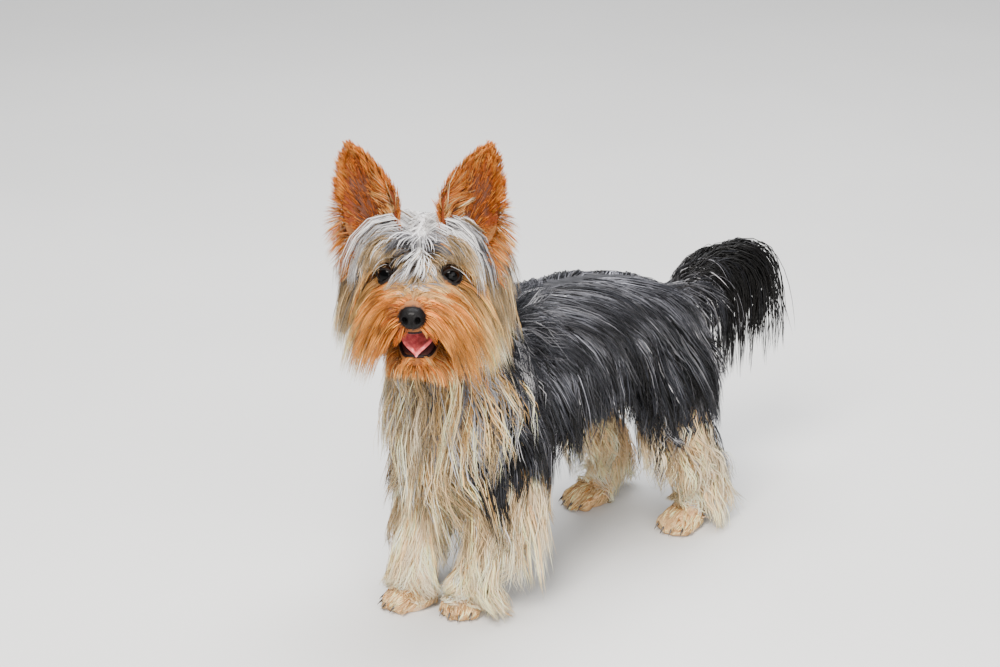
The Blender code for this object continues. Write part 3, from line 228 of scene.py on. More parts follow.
# The lie of the head's hair: share of the skull's axis, degrees above its side, the way it lies
# (outward, back, up), length and stand in millimetres, hang, and tone.
HEAD_LIE = (
    (0.06, 80, (0.25, 0.90, -0.10), 42, 6, 0.28, Tone.GREY),
    (0.12, 20, (0.40, 0.70, -0.50), 40, 6, 0.34, Tone.GREY),
    (0.13, -35, (0.30, 0.60, -0.80), 36, 6, 0.30, Tone.GOLD),
    (0.19, 84, (0.80, 0.16, 0.00), 26, 4, 0.34, Tone.SILVER),
    (0.27, 87, (0.78, 0.10, 0.10), 30, 4, 0.36, Tone.WHITE),
    (0.27, 58, (0.70, 0.50, -0.05), 42, 5, 0.34, Tone.FAWN),
    (0.28, 12, (0.75, 0.30, -0.50), 48, 6, 0.34, Tone.FAWN),
    (0.31, -20, (0.66, 0.20, -0.66), 53, 6, 0.34, Tone.BLOND),
    (0.31, -50, (0.54, 0.18, -0.80), 49, 6, 0.26, Tone.BLOND),
    (0.33, -80, (0.10, 0.40, -0.90), 30, 6, 0.25, Tone.CREAM),
    (0.34, 89, (0.78, 0.02, 0.36), 56, 4, 0.42, Tone.WHITE),
    (0.34, 68, (0.86, 0.08, 0.10), 58, 5, 0.46, Tone.FAWN),
    (0.38, 42, (0.84, 0.02, -0.20), 58, 5, 0.43, Tone.FAWN),
    (0.39, 15, (0.72, 0.05, -0.52), 54, 6, 0.41, Tone.FAWN),
    (0.42, -12, (0.64, 0.10, -0.68), 55, 7, 0.32, Tone.GOLD),
    (0.42, -40, (0.56, 0.08, -0.80), 55, 8, 0.22, Tone.CREAM),
    (0.42, 89, (0.72, -0.10, 0.48), 62, 5, 0.42, Tone.WHITE),
    (0.42, 72, (0.86, -0.05, 0.20), 56, 5, 0.52, Tone.SILVER),
    (0.43, 52, (0.86, -0.04, -0.10), 56, 5, 0.50, Tone.GREY),
    (0.45, 32, (0.72, -0.02, -0.50), 54, 5, 0.48, Tone.FAWN),
    (0.47, 12, (0.66, 0.00, -0.66), 52, 7, 0.38, Tone.FAWN),
    (0.47, -62, (0.35, 0.10, -0.90), 32, 8, 0.20, Tone.GOLD),
    (0.475, 88, (0.76, -0.05, 0.48), 58, 5, 0.42, Tone.WHITE),
    (0.48, 70, (0.84, -0.16, 0.20), 53, 5, 0.56, Tone.WHITE),
    (0.50, 54, (0.80, -0.18, -0.02), 50, 6, 0.54, Tone.WHITE),
    (0.51, 36, (0.70, -0.06, -0.46), 48, 6, 0.46, Tone.GREY),
    (0.52, 16, (0.64, 0.00, -0.66), 46, 7, 0.36, Tone.FAWN),
    (0.52, -10, (0.62, 0.05, -0.75), 50, 9, 0.26, Tone.FAWN),
    (0.52, -38, (0.46, 0.06, -0.86), 53, 9, 0.22, Tone.GOLD),
    (0.525, 89, (0.34, -0.72, 0.30), 16, 3, 0.22, Tone.SILVER),
    (0.52, 82, (0.74, -0.14, 0.66), 33, 4, 0.38, Tone.SILVER),
    (0.545, 86, (0.60, -0.26, 0.74), 25, 4, 0.34, Tone.GREY),
    (0.53, 73, (0.72, -0.22, 0.64), 31, 5, 0.36, Tone.FAWN),
    (0.53, 62, (0.80, -0.24, 0.48), 29, 6, 0.36, Tone.FAWN),
    (0.55, 50, (0.86, -0.20, 0.30), 26, 6, 0.36, Tone.FAWN),
    (0.565, 89.5, (0.10, -0.92, 0.12), 14, 2, 0.18, Tone.WHITE),
    (0.565, 84, (0.62, -0.26, 0.74), 21, 4, 0.32, Tone.GREY),
    (0.575, 74, (0.66, -0.30, 0.68), 20, 5, 0.34, Tone.FAWN),
    (0.58, 60, (0.76, -0.30, 0.52), 17, 4, 0.32, Tone.FAWN),
    (0.57, 34, (0.80, -0.05, -0.40), 25, 4, 0.26, Tone.GOLD),
    (0.60, 20, (0.75, 0.10, -0.60), 28, 5, 0.26, Tone.TAN),
    (0.60, 2, (0.68, 0.08, -0.72), 40, 7, 0.24, Tone.GOLD),
    (0.60, -22, (0.46, 0.06, -0.86), 56, 9, 0.22, Tone.GOLD),
    (0.60, -45, (0.38, 0.04, -0.92), 56, 9, 0.14, Tone.GOLD),
    (0.61, 89.3, (0.22, -0.86, 0.10), 17, 3, 0.20, Tone.WHITE),
    (0.61, 84, (0.78, -0.30, 0.26), 19, 3, 0.32, Tone.FAWN),
    (0.63, 74, (0.84, -0.26, 0.16), 21, 4, 0.32, Tone.FAWN),
    (0.65, 52, (0.85, 0.06, -0.18), 22, 3, 0.28, Tone.FAWN),
    (0.66, 88, (0.66, -0.46, 0.16), 20, 3, 0.30, Tone.SILVER),
    (0.67, 82, (0.84, -0.20, 0.10), 23, 3, 0.30, Tone.FAWN),
    (0.69, 74, (0.86, -0.10, 0.06), 24, 4, 0.30, Tone.GOLD),
    (0.72, 87, (0.84, -0.10, 0.14), 18, 3, 0.28, Tone.FAWN),
    (0.75, 78, (0.84, 0.10, 0.06), 25, 4, 0.28, Tone.GOLD),
    (0.78, 88, (0.84, 0.00, 0.12), 20, 3, 0.28, Tone.SILVER),
    (0.79, 80, (0.84, 0.10, 0.06), 20, 3, 0.28, Tone.GOLD),
    (0.72, 62, (0.84, 0.16, -0.12), 31, 4, 0.30, Tone.GOLD),
    (0.70, 30, (0.74, 0.20, -0.55), 38, 6, 0.26, Tone.TAN),
    (0.71, 0, (0.66, 0.15, -0.70), 52, 9, 0.22, Tone.GOLD),
    (0.72, -28, (0.42, 0.08, -0.90), 58, 9, 0.20, Tone.TAN),
    (0.74, -42, (0.32, 0.04, -0.94), 54, 8, 0.14, Tone.GOLD),
    (0.83, 84, (0.84, 0.20, 0.10), 19, 3, 0.28, Tone.GOLD),
    (0.79, 52, (0.80, 0.25, -0.35), 38, 5, 0.28, Tone.TAN),
    (0.80, 10, (0.70, 0.15, -0.62), 50, 9, 0.24, Tone.TAN),
    (0.82, -25, (0.54, 0.05, -0.82), 54, 9, 0.20, Tone.TAN),
    (0.87, 80, (0.84, 0.34, 0.05), 14, 2, 0.26, Tone.GOLD),
    (0.88, 42, (0.80, 0.20, -0.40), 40, 6, 0.28, Tone.TAN),
    (0.90, 2, (0.70, 0.05, -0.62), 46, 9, 0.24, Tone.TAN),
    (0.87, -42, (0.46, 0.02, -0.88), 46, 8, 0.15, Tone.TAN),
    (0.92, -30, (0.62, 0.00, -0.78), 46, 8, 0.18, Tone.TAN),
    (0.96, 80, (0.92, 0.35, 0.00), 7, 1, 0.20, Tone.TAN),
    (0.965, 30, (0.84, 0.08, -0.40), 28, 5, 0.26, Tone.TAN),
    (0.975, -12, (0.72, -0.10, -0.66), 30, 7, 0.22, Tone.TAN),
    (0.98, -50, (0.66, -0.25, -0.70), 14, 3, 0.18, Tone.RUST),
    (0.98, -82, (0.85, -0.25, -0.40), 5, 1, 0.10, Tone.RUST),
)


def unit(vectors: Array) -> Array:
    """Rows scaled to length 1."""
    return vectors / np.maximum(np.linalg.norm(vectors, axis=-1, keepdims=True), 1e-12)


def turn_about(axis: str, angle: float) -> Array:
    """The 3 by 3 matrix of a turn about one axis."""
    return np.array(Matrix.Rotation(angle, 3, axis))


HEAD_TURNED = turn_about("Z", HEAD_TURN) @ turn_about("Y", -HEAD_ROLL)


def in_head(points: Array) -> Array:
    """Points of the head's own frame (left, back, up from the eye line) in the dog's."""
    return np.asarray(points) @ HEAD_TURNED.T + EYE_LINE


def to_head(points: Array) -> Array:
    """Points of the dog's frame in the head's own."""
    return (np.asarray(points) - EYE_LINE) @ HEAD_TURNED


def turned_in_head(directions: Array) -> Array:
    """Directions of the head's own frame in the dog's."""
    return np.asarray(directions) @ HEAD_TURNED.T


def eye_place(side: int) -> tuple[Array, Array]:
    """The centre of an eye and the way it looks, in the head's own frame."""
    centre = np.array((side * EYE_APART, EYE_DEPTH, 0.0))
    looks = np.array((side * math.sin(EYE_OUTWARD), -math.cos(EYE_OUTWARD), 0.1))
    return centre, unit(looks)


def before_eye(local: Array, side: int, room: Array | float) -> Array:
    """Marks points of the head's own frame that are in the room before an eye."""
    centre, looks = eye_place(side)
    away = local - centre
    ahead = away @ looks
    off = (away - ahead[..., None] * looks) / room
    return (np.linalg.norm(off, axis=-1) < 1) & (ahead > 0)


def ripple(points: Array, length: float, seed: int) -> Array:
    """A smooth random value, about 1 in size, that changes over a given length."""
    waves = 12
    draw = np.random.default_rng(seed)
    ways = unit(draw.normal(0, 1, (waves, 3))) * (math.tau / length)
    ways *= draw.uniform(0.6, 1.5, (waves, 1))
    phase = draw.uniform(0, math.tau, waves)
    return np.sin(points @ ways.T + phase).sum(axis=1) * 0.41


def swell(points: Array, length: float, seed: int, size: float) -> Array:
    """A smooth random factor about 1, from a ripple of a given size."""
    return np.exp(size * ripple(points, length, seed))


def frame_shift() -> Array:
    """How far the model's frame lies from the dog's, read from where the left eye is."""
    low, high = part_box("eye_left")
    return (np.array(low) + np.array(high)) / 2 - SOLID_LEFT_EYE


SHIFT = frame_shift()
# The middle of each cell of the grid: share of the axis, and angle.
GRID_ALONG = np.repeat((np.arange(GRID_RINGS) + 0.5) / GRID_RINGS, GRID_POINTS)
GRID_ANGLE = np.tile((np.arange(GRID_POINTS) + 0.5) / GRID_POINTS * math.tau, GRID_RINGS)


def catmull(rows: Array, along: Array) -> Array:
    """Rows of a table read smoothly at shares of its length.

    Args:
        rows: the table, one control row a line.
        along: shares from 0 to 1.

    Returns:
        One row for each share.
    """
    last = len(rows) - 1
    place = np.clip(along, 0, 1) * last
    i = np.minimum(place.astype(int), last - 1)
    t = (place - i)[:, None]
    before, a = rows[np.maximum(i - 1, 0)], rows[i]
    b, after = rows[i + 1], rows[np.minimum(i + 2, last)]
    slope_a, slope_b = (b - before) / 2, (after - a) / 2
    return (a * (2 * t**3 - 3 * t**2 + 1) + slope_a * (t**3 - 2 * t**2 + t)
            + b * (3 * t**2 - 2 * t**3) + slope_b * (t**3 - t**2))


@dataclass
class Loft:
    """Oval sections strung along a bent axis, which read as a surface."""

    sections: tuple[tuple[float, ...], ...]
    front: Array
    axis: Array | None = None
    of_head: bool = False
    squareness: float = 2.3
    rows: Array = field(init=False)
    ahead: Array = field(init=False)
    side: Array = field(init=False)
    top: Array = field(init=False)

    def __post_init__(self) -> None:
        """Works out the planes of the sections."""
        self.rows = np.array(self.sections, float)
        ahead = self.rows[-1][:3] - self.rows[0][:3] if self.axis is None else self.axis
        self.ahead = unit(ahead)
        self.side = unit(np.cross(self.ahead, self.front))
        self.top = unit(np.cross(self.side, self.ahead))

    def points(self, along: Array, angle: Array, lift: float = 0.0) -> Array:
        """Points of the surface.

        Args:
            along: shares of the axis, from 0 to 1.
            angle: radians round the section, where a quarter turn is its front.
            lift: how far off the surface.

        Returns:
            One point a line, in the dog's frame.
        """
        row = catmull(self.rows, np.asarray(along, float))
        cosine, sine = np.cos(angle), np.sin(angle)
        power = 2 / self.squareness
        reach = np.where(sine > 0, row[:, 4], row[:, 5]) + lift
        sideways = np.sign(cosine) * np.abs(cosine) ** power * (row[:, 3] + lift)
        upwards = np.sign(sine) * np.abs(sine) ** power * reach
        centre = row[:, :3] + self.ahead * (lift * (2 * along - 1))[:, None]
        found = centre + self.side * sideways[:, None] + self.top * upwards[:, None]
        return in_head(found) if self.of_head else found

    def ways(self, along: Array, angle: Array) -> tuple[Array, Array, Array]:
        """The way out, the way round and the way along the surface at some places."""
        ahead = self.points(np.minimum(1, along + 0.01), angle)
        ahead = ahead - self.points(np.maximum(0, along - 0.01), angle)
        round_way = self.points(along, angle + 0.05) - self.points(along, angle - 0.05)
        out = unit(np.cross(ahead, round_way))
        centre = catmull(self.rows, along)[:, :3]
        centre = in_head(centre) if self.of_head else centre
        inward = np.einsum("ij,ij->i", out, self.points(along, angle) - centre) < 0
        out[inward] *= -1
        return out, unit(round_way), unit(ahead)

    def closed_mesh(self, rings: int, points: int) -> tuple[Array, list[list[int]]]:
        """The surface as a closed mesh, its ends drawn to a middle point."""
        along = np.repeat(np.linspace(0, 1, rings), points)
        angle = np.tile(np.linspace(0, math.tau, points, endpoint=False), rings)
        body = self.points(along, angle)
        ends = []
        for share, way in ((0.0, -1), (1.0, 1)):
            row = catmull(self.rows, np.array([share]))[0]
            end = row[:3] + self.ahead * (way * 0.2 * row[3:6].min())
            ends.append(in_head(end) if self.of_head else end)
        around = [(k, (k + 1) % points) for k in range(points)]
        faces = [[i + k, i + after, i + points + after, i + points + k]
                 for i in range(0, (rings - 1) * points, points) for k, after in around]
        first, last, base = rings * points, rings * points + 1, (rings - 1) * points
        for k, after in around:
            faces += [[after, k, first], [base + k, base + after, last]]
        return np.vstack((body, ends)), faces

    def areas(self) -> Array:
        """The area of each cell of the grid over the surface."""
        along, angle = GRID_ALONG, GRID_ANGLE
        half_along, half_angle = 0.5 / GRID_RINGS, 0.5 / GRID_POINTS * math.tau
        one = self.points(along + half_along, angle) - self.points(along - half_along, angle)
        two = self.points(along, angle + half_angle) - self.points(along, angle - half_angle)
        return np.linalg.norm(np.cross(one, two), axis=1)


def mirrored(sections: tuple[tuple[float, ...], ...], step: float) -> tuple:
    """The right leg's sections: the left's mirrored, stepping forward towards the sole."""
    highest = sections[0][2]
    return tuple((-x, y + step * (1 - z / highest), z, *sizes)
                 for x, y, z, *sizes in sections)


TORSO = Loft(TORSO_SECTIONS, UP, BACK)
NECK = Loft(NECK_SECTIONS, AHEAD)
SKULL = Loft(HEAD_SECTIONS, UP, AHEAD, of_head=True)
JAW = Loft(JAW_SECTIONS, UP, AHEAD, of_head=True)
TAIL = Loft(TAIL_SECTIONS, UP)
FRONT_LEGS = {1: Loft(FRONT_LEG_SECTIONS, AHEAD, DOWN),
              -1: Loft(mirrored(FRONT_LEG_SECTIONS, FRONT_RIGHT_STEP), AHEAD, DOWN)}
HIND_LEGS = {1: Loft(HIND_LEG_SECTIONS, AHEAD, DOWN),
             -1: Loft(mirrored(HIND_LEG_SECTIONS, HIND_RIGHT_STEP), AHEAD, DOWN)}


def ear_points(side: int, share: Array, t: Array) -> Array:
    """Points of an ear's leaf, in the dog's frame.

    Args:
        side: 1 for the left ear, -1 for the right.
        share: shares of the way up.
        t: from -1 at the inner edge to 1 at the outer.

    Returns:
        One point a line.
    """
    share, t = np.asarray(share, float), np.asarray(t, float)
    up = np.maximum(0.0, share)
    mirror = np.array((side, 1, 1))
    middle = EAR_ROOT + (EAR_TIP - EAR_ROOT) * share[:, None]
    across = unit(np.stack((0.79 + 0.14 * up, np.full_like(up, 0.10), -0.61 + 0.26 * up), 1))
    narrowed = 0.74 + 0.26 * ease(share, -0.05, 0.28)
    width = EAR_WIDTH / 2 * np.maximum(0.03, 1 - up**EAR_TAPER) * narrowed
    found = middle + across * (width * t)[:, None]
    found[:, 1] += EAR_CUP * (1 - np.minimum(up, 1)) ** 0.8 * (0.5 - t * t)
    return in_head(found * mirror)


def link(name: str, data: bpy.types.Mesh) -> bpy.types.Object:
    """A mesh as an object of the scene."""
    piece = bpy.data.objects.new(name, data)
    bpy.context.scene.collection.objects.link(piece)
    return piece


def mesh_of(name: str, points: Array, faces: list[list[int]]) -> bpy.types.Mesh:
    """A mesh from points of the dog's frame, in the model's frame."""
    data = bpy.data.meshes.new(name)
    data.from_pydata((np.asarray(points) + SHIFT).tolist(), [], faces)
    data.update()
    return data


def only(piece: bpy.types.Object) -> None:
    """Selects one object and makes it active."""
    bpy.ops.object.select_all(action="DESELECT")
    piece.select_set(True)
    bpy.context.view_layer.objects.active = piece


def applied(piece: bpy.types.Object, kind: str, **settings: object) -> None:
    """Adds a modifier to a piece, sets it and applies it."""
    only(piece)
    change = piece.modifiers.new(kind.title(), kind)
    for name, value in settings.items():
        setattr(change, name, value)
    bpy.ops.object.modifier_apply(modifier=change.name)


def edited(piece: bpy.types.Object, change: Callable, **settings: object) -> None:
    """Runs one operator on the whole mesh of a piece, in edit mode."""
    only(piece)
    bpy.ops.object.mode_set(mode="EDIT")
    bpy.ops.mesh.select_all(action="SELECT")
    change(**settings)
    bpy.ops.object.mode_set(mode="OBJECT")


def turned_outward(piece: bpy.types.Object) -> None:
    """Turns all faces of a piece outwards."""
    edited(piece, bpy.ops.mesh.normals_make_consistent, inside=False)


def joined_to(base: bpy.types.Object, more: list[bpy.types.Object]) -> None:
    """Joins more pieces to a piece."""
    only(base)
    for piece in more:
        piece.select_set(True)
    bpy.ops.object.join()


def coordinates(piece: bpy.types.Object) -> Array:
    """The points of a piece's mesh, in the dog's frame."""
    flat = np.empty(len(piece.data.vertices) * 3, np.float32)
    piece.data.vertices.foreach_get("co", flat)
    return flat.reshape(-1, 3).astype(float) - SHIFT


def put_coordinates(piece: bpy.types.Object, points: Array) -> None:
    """Moves the points of a piece's mesh to places given in the dog's frame."""
    piece.data.vertices.foreach_set("co", (points + SHIFT).astype(np.float32).ravel())
    piece.data.update()


def fixed(piece: bpy.types.Object) -> None:
    """Applies a piece's place, turn and size to its mesh and smooths its faces."""
    only(piece)
    bpy.ops.object.transform_apply(location=True, rotation=True, scale=True)
    bpy.ops.object.shade_smooth()


def just_added(name: str) -> bpy.types.Object:
    """Names and fixes the object that an operator has just added."""
    piece = bpy.context.active_object
    piece.name = name
    fixed(piece)
    return piece


def colour_points(data: bpy.types.Mesh, colours: Array) -> None:
    """Writes the coat's colour, one a point, as the attribute that its materials read."""
    layer = data.color_attributes.new("coat", "FLOAT_COLOR", "POINT")
    full = np.ones((len(data.vertices), 4), np.float32)
    full[:, :3] = colours
    layer.data.foreach_set("color", full.ravel())


def tree_of(piece: bpy.types.Object) -> BVHTree:
    """A search tree over a piece's faces, in the dog's frame."""
    faces = [list(face.vertices) for face in piece.data.polygons]
    return BVHTree.FromPolygons(coordinates(piece).tolist(), faces)


def search_tree(points: Array) -> KDTree:
    """A tree that finds the nearest of some points."""
    tree = KDTree(len(points))
    for i, point in enumerate(points.tolist()):
        tree.insert(point, i)
    tree.balance()
    return tree


def off_skin(tree: BVHTree, points: Array) -> tuple[Array, Array]:
    """How far points stand off the skin, and the way straight out there."""
    found = np.array([(*near, *normal) for near, normal, _, _ in
                      map(tree.find_nearest, points.tolist())])
    away = points - found[:, :3]
    distance = np.linalg.norm(away, axis=1)
    inside = np.einsum("ij,ij->i", away, found[:, 3:]) < 0
    signed = np.where(inside, -distance, distance)
    divisor = np.where(np.abs(signed) > 1e-9, signed, 1)
    outward = np.where((distance > 1e-5)[:, None], away / divisor[:, None], found[:, 3:])
    return signed, outward


@dataclass
class Seeds:
    """Where strands grow, and how each is meant to lie. Every array has one row a strand."""

    root: Array
    out: Array
    lie: Array
    length: Array
    stand: Array
    hang: Array
    tone: Array
    patch: Array
    cling: float = 1.0
    lift: float = 0.18

    def kept(self, which: Array) -> "Seeds":
        """Only the strands that are marked."""
        return Seeds(*(rows[which] for rows in self.arrays()), self.cling, self.lift)

    def joined(self, more: "Seeds") -> "Seeds":
        """These strands and more."""
        both = map(np.concatenate, zip(self.arrays(), more.arrays()))
        return Seeds(*both, self.cling, self.lift)

    def arrays(self) -> tuple[Array, ...]:
        """All that has one row a strand."""
        return (self.root, self.out, self.lie, self.length, self.stand, self.hang, self.tone,
                self.patch)


def sow(loft: Loft, count: int, draw: np.random.Generator, low: float = 0.0,
        high: float = 1.0, weight: Array | None = None) -> tuple[Array, Array]:
    """Scatters places evenly over a part of a loft.

    Args:
        loft: the surface.
        count: how many places.
        draw: the random numbers.
        low: the share of the axis where they start.
        high: the share where they end.
        weight: how dense each cell of the grid is, all alike if left out.

    Returns:
        Shares of the axis, and angles.
    """
    area = loft.areas()
    area[(GRID_ALONG < low) | (GRID_ALONG > high)] = 0
    if weight is not None:
        area = area * weight
    cell = draw.choice(len(area), count, p=area / area.sum())
    along = (cell // GRID_POINTS + draw.random(count)) / GRID_RINGS
    angle = (cell % GRID_POINTS + draw.random(count)) / GRID_POINTS * math.tau
    return np.clip(along, 0, 1), angle


def pick(weights: Array, draw: np.random.Generator) -> Array:
    """Chooses one column for each row, with the row's weights as chances."""
    total = np.cumsum(weights, axis=1)
    return (draw.random(len(weights))[:, None] * total[:, -1:] > total).sum(axis=1)


def tones(draw: np.random.Generator, count: int, chances: dict[Tone, object]) -> Array:
    """Chooses a tone for each strand, from chances that are numbers or one number a strand."""
    weights = np.zeros((count, len(TONES)))
    for tone, chance in chances.items():
        weights[:, TONES.index(tone)] = chance
    return pick(weights, draw)


def ease(value: Array, low: float, high: float) -> Array:
    """A smooth step from 0 at low to 1 at high."""
    t = np.clip((np.asarray(value, float) - low) / (high - low), 0, 1)
    return t * t * (3 - 2 * t)


@dataclass
class Coat:
    """One region's strands, from where they grow to their finished mesh.

    Attributes:
        name: the piece's name.
        seeds: where the strands grow.
        draw: the random numbers.
        steps: how many lengths a strand is bent into.
        width: how wide a strand is.
        flat: how thick it is, as a share of its width.
        clump: how strongly it is drawn to the leader of its clump.
        lock: how strongly it is drawn to the leader of its lock, which is several clumps large.
        members: how many strands a clump has.
        wave: how far a long strand waves.
        frizz: how far a long strand strays.
        gloom: how much the shade varies from clump to clump.
        painted_gleam: how much the colour varies over the coat in broad patches, partly as painted
            highlights and shade, partly as the coat's own uneven tone.
        alike: the share of the strands that take the tone of their leader.
        blend: how the colour goes from root to tip, evenly if 1.
        vary: how much the shade varies from strand to strand.
        leaders: the number of each clump's leader.
    """

    name: str
    seeds: Seeds
    draw: np.random.Generator
    steps: int = 5
    width: float = 0.0007
    flat: float = 0.35
    clump: float = 0.45
    lock: float = 0.35
    members: int = 12
    wave: float = 0.0
    frizz: float = 0.0008
    gloom: float = 0.15
    painted_gleam: float = 0.12
    alike: float = 0.0
    blend: float = 1.0
    vary: float = 0.17
    leaders: Array = field(init=False)

    def comb(self, tree: BVHTree) -> tuple[Array, Array]:
        """Lays each strand along the skin from its root to its tip.

        Args:
            tree: the skin.

        Returns:
            The points of each strand, and the way off the skin at each.
        """
        seeds, count = self.seeds, len(self.seeds.root)
        path = np.empty((count, self.steps + 1, 3))
        facing = np.empty_like(path)
        path[:, 0] = seeds.root - seeds.out * SUNK
        facing[:, 0] = seeds.out
        at = seeds.root + seeds.out * 0.0005
        heading = unit(seeds.lie + seeds.out * seeds.lift)
        step = (seeds.length / self.steps)[:, None]
        for k in range(self.steps):
            before = at
            at = at + heading * step
            height, outward = off_skin(tree, at)
            wanted = np.maximum(0.0007, seeds.stand * ((k + 1) / self.steps) ** 0.8)
            held = (height < CLING_REACH) & (outward[:, 2] > -0.3)
            move = np.where(height < wanted, wanted - height,
                            np.where(held, (wanted - height) * seeds.cling, 0.0))
            at = at + outward * move[:, None]
            at[:, 2] = np.maximum(at[:, 2], FLOOR_CLEAR)
            hang = seeds.hang[:, None]
            heading = unit(unit(at - before) * (1 - hang) + DOWN * hang)
            path[:, k + 1] = at
            facing[:, k + 1] = outward
        return path, facing

    def gather(self, path: Array, members: int, pull: float) -> Array:
        """Draws strands towards a leader near their root, more so at the tip.

        Returns:
            The leader's number, one a strand.
        """
        count = len(path)
        leaders = self.draw.choice(count, max(1, count // members), replace=False)
        near = search_tree(path[leaders, 0])
        mine = np.array([near.find(root)[1] for root in path[:, 0].tolist()])
        share = np.linspace(0, 1, self.steps + 1) ** 1.2
        strength = pull * self.draw.uniform(0.6, 1.15, count)
        weight = np.clip(strength[:, None] * share, 0, 0.95)[..., None]
        path += (path[leaders[mine]] - path) * weight
        self.leaders = leaders
        return mine

    def ruffle(self, path: Array, facing: Array, clumps: Array) -> None:
        """Adds waves that the strands of a clump share, and a little disorder."""
        count = len(path)
        share = np.linspace(0, 1, self.steps + 1)
        across = unit(np.cross(path[:, 1:2] - path[:, :1], facing))
        phase = self.draw.uniform(0, math.tau, clumps.max() + 1)[clumps]
        turns = self.draw.uniform(0.8, 1.5, clumps.max() + 1)[clumps]
        swing = np.sin(phase[:, None] + math.tau * turns[:, None] * share) - np.sin(phase)[:, None]
        size = self.wave * np.minimum(1, self.seeds.length / 0.04)[:, None] * share
        path += across * (swing * size)[..., None]
        size = self.frizz * np.minimum(1, self.seeds.length / 0.03)
        stray = self.draw.normal(0, 1, (count, 3)) * size[:, None]
        path += stray[:, None] * (share**1.5)[None, :, None]
        path[:, 1:, 2] = np.maximum(path[:, 1:, 2], FLOOR_CLEAR)

    def build(self, tree: BVHTree, finish: bpy.types.Material) -> list[bpy.types.Object]:
        """Combs the strands and makes them pieces of less than 200,000 triangles.

        Args:
            tree: the skin.
            finish: the coat's material.

        Returns:
            The pieces.
        """
        path, facing = self.comb(tree)
        locks = self.gather(path, self.members * CLUMPS_IN_LOCK, self.lock)
        clumps = self.gather(path, self.members, self.clump)
        self.ruffle(path, facing, clumps)
        alike = self.draw.random(len(path)) < self.alike
        self.seeds.tone[alike] = self.seeds.tone[self.leaders[clumps]][alike]
        shade = np.exp(self.draw.normal(0, self.vary, len(path)))
        shade *= np.exp(self.draw.normal(0, self.gloom, clumps.max() + 1))[clumps]
        shade *= np.exp(self.draw.normal(0, self.gloom * 0.7, locks.max() + 1))[locks]
        keep = ~blocked(path)
        self.seeds = self.seeds.kept(keep)
        path, facing, shade = path[keep], facing[keep], shade[keep]
        per_strand = 6 * self.steps - 2
        parts = math.ceil(len(path) * per_strand / PIECE_TRIANGLES)
        pieces = []
        for i, chosen in enumerate(np.array_split(np.arange(len(path)), parts)):
            name = f"{self.name}_{i + 1}" if parts > 1 else self.name
            pieces.append(self.weave(name, path[chosen], facing[chosen], shade[chosen],
                                     self.seeds.kept(chosen), finish))
        return pieces

    def weave(self, name: str, path: Array, facing: Array, shade: Array, seeds: Seeds,
              finish: bpy.types.Material) -> bpy.types.Object:
        """Makes closed three-sided strands, pointed at the tip, from their paths."""
        points = self.thicken(path, facing)
        count, total, _ = points.shape
        loops, u, v = self.strand_faces(self.steps)
        index = (np.arange(count) * total)[:, None] + loops
        data = bpy.data.meshes.new(name)
        data.vertices.add(count * total)
        data.vertices.foreach_set("co", (points + SHIFT).astype(np.float32).ravel())
        data.loops.add(index.size)
        data.loops.foreach_set("vertex_index", index.astype(np.int32).ravel())
        data.polygons.add(index.size // 3)
        data.polygons.foreach_set("loop_start", np.arange(0, index.size, 3, dtype=np.int32))
        data.polygons.foreach_set("use_smooth", np.ones(index.size // 3, bool))
        data.update(calc_edges=True)
        self.paint(data, points, seeds.tone, shade)
        chart = data.uv_layers.new(name="OFBake")
        place = np.empty((count, len(loops), 2), np.float32)
        for axis, across_patch in enumerate((u, v)):
            middle = np.clip(seeds.patch[:, axis:axis + 1], 0.002, 0.998)
            place[..., axis] = middle + (across_patch - 0.5) * CHART_PATCH
        chart.data.foreach_set("uv", place.ravel())
        data.materials.append(finish)
        log.info("%s: %d strands, %d triangles", name, count, index.size // 3)
        return link(name, data)

    def thicken(self, path: Array, facing: Array) -> Array:
        """Gives strands their thickness: three points at each step, and one at the tip."""
        count, rings = len(path), self.steps
        tangent = np.empty_like(path)
        tangent[:, 1:-1] = path[:, 2:] - path[:, :-2]
        tangent[:, 0], tangent[:, -1] = path[:, 1] - path[:, 0], path[:, -1] - path[:, -2]
        tangent = unit(tangent)
        across = np.cross(tangent, facing)
        weak = np.linalg.norm(across, axis=-1) < 0.1
        across[weak] = np.cross(tangent[weak], self.draw.normal(0, 1, (int(weak.sum()), 3)))
        across = unit(across)
        upward = unit(np.cross(across, tangent))
        twist = self.draw.normal(0, 0.45, count)[:, None, None]
        across, upward = (across * np.cos(twist) + upward * np.sin(twist),
                          upward * np.cos(twist) - across * np.sin(twist))
        share = np.arange(rings) / rings
        profile = np.interp(share, (0, 0.25, 0.6, 1), (0.75, 1.0, 0.85, 0.25))
        wide = self.draw.uniform(0.7, 1.3, count)[:, None] * profile * self.width / 2
        wide = wide[..., None]
        thick = wide * self.flat * 2
        point, side, lift = path[:, :rings], across[:, :rings], upward[:, :rings]
        ring = np.stack((point + side * wide - lift * thick * 0.5, point + lift * thick,
                         point - side * wide - lift * thick * 0.5), 2)
        return np.concatenate((ring.reshape(count, rings * 3, 3), path[:, -1:]), axis=1)

    def paint(self, data: bpy.types.Mesh, points: Array, tone: Array, shade: Array) -> None:
        """Colours each strand from its root to its tip, with painted highlights and shade in broad
        patches over the coat.
        """
        along = np.append(np.repeat(np.arange(self.steps) / self.steps, 3), 1.0)[None, :, None]
        along = along**self.blend
        colours = ROOT_COLOURS[tone][:, None] * (1 - along) + TIP_COLOURS[tone][:, None] * along
        # Painted gleam: the colour is made brighter and darker in broad patches, partly as
        # highlights and shade, partly as the coat's own uneven tone.
        painted_sheen = swell(points.reshape(-1, 3), 0.016, 3, self.painted_gleam)
        colours = colours * shade[:, None, None] * painted_sheen.reshape(*points.shape[:2], 1)
        colour_points(data, np.clip(colours, 0, 0.95).reshape(-1, 3))

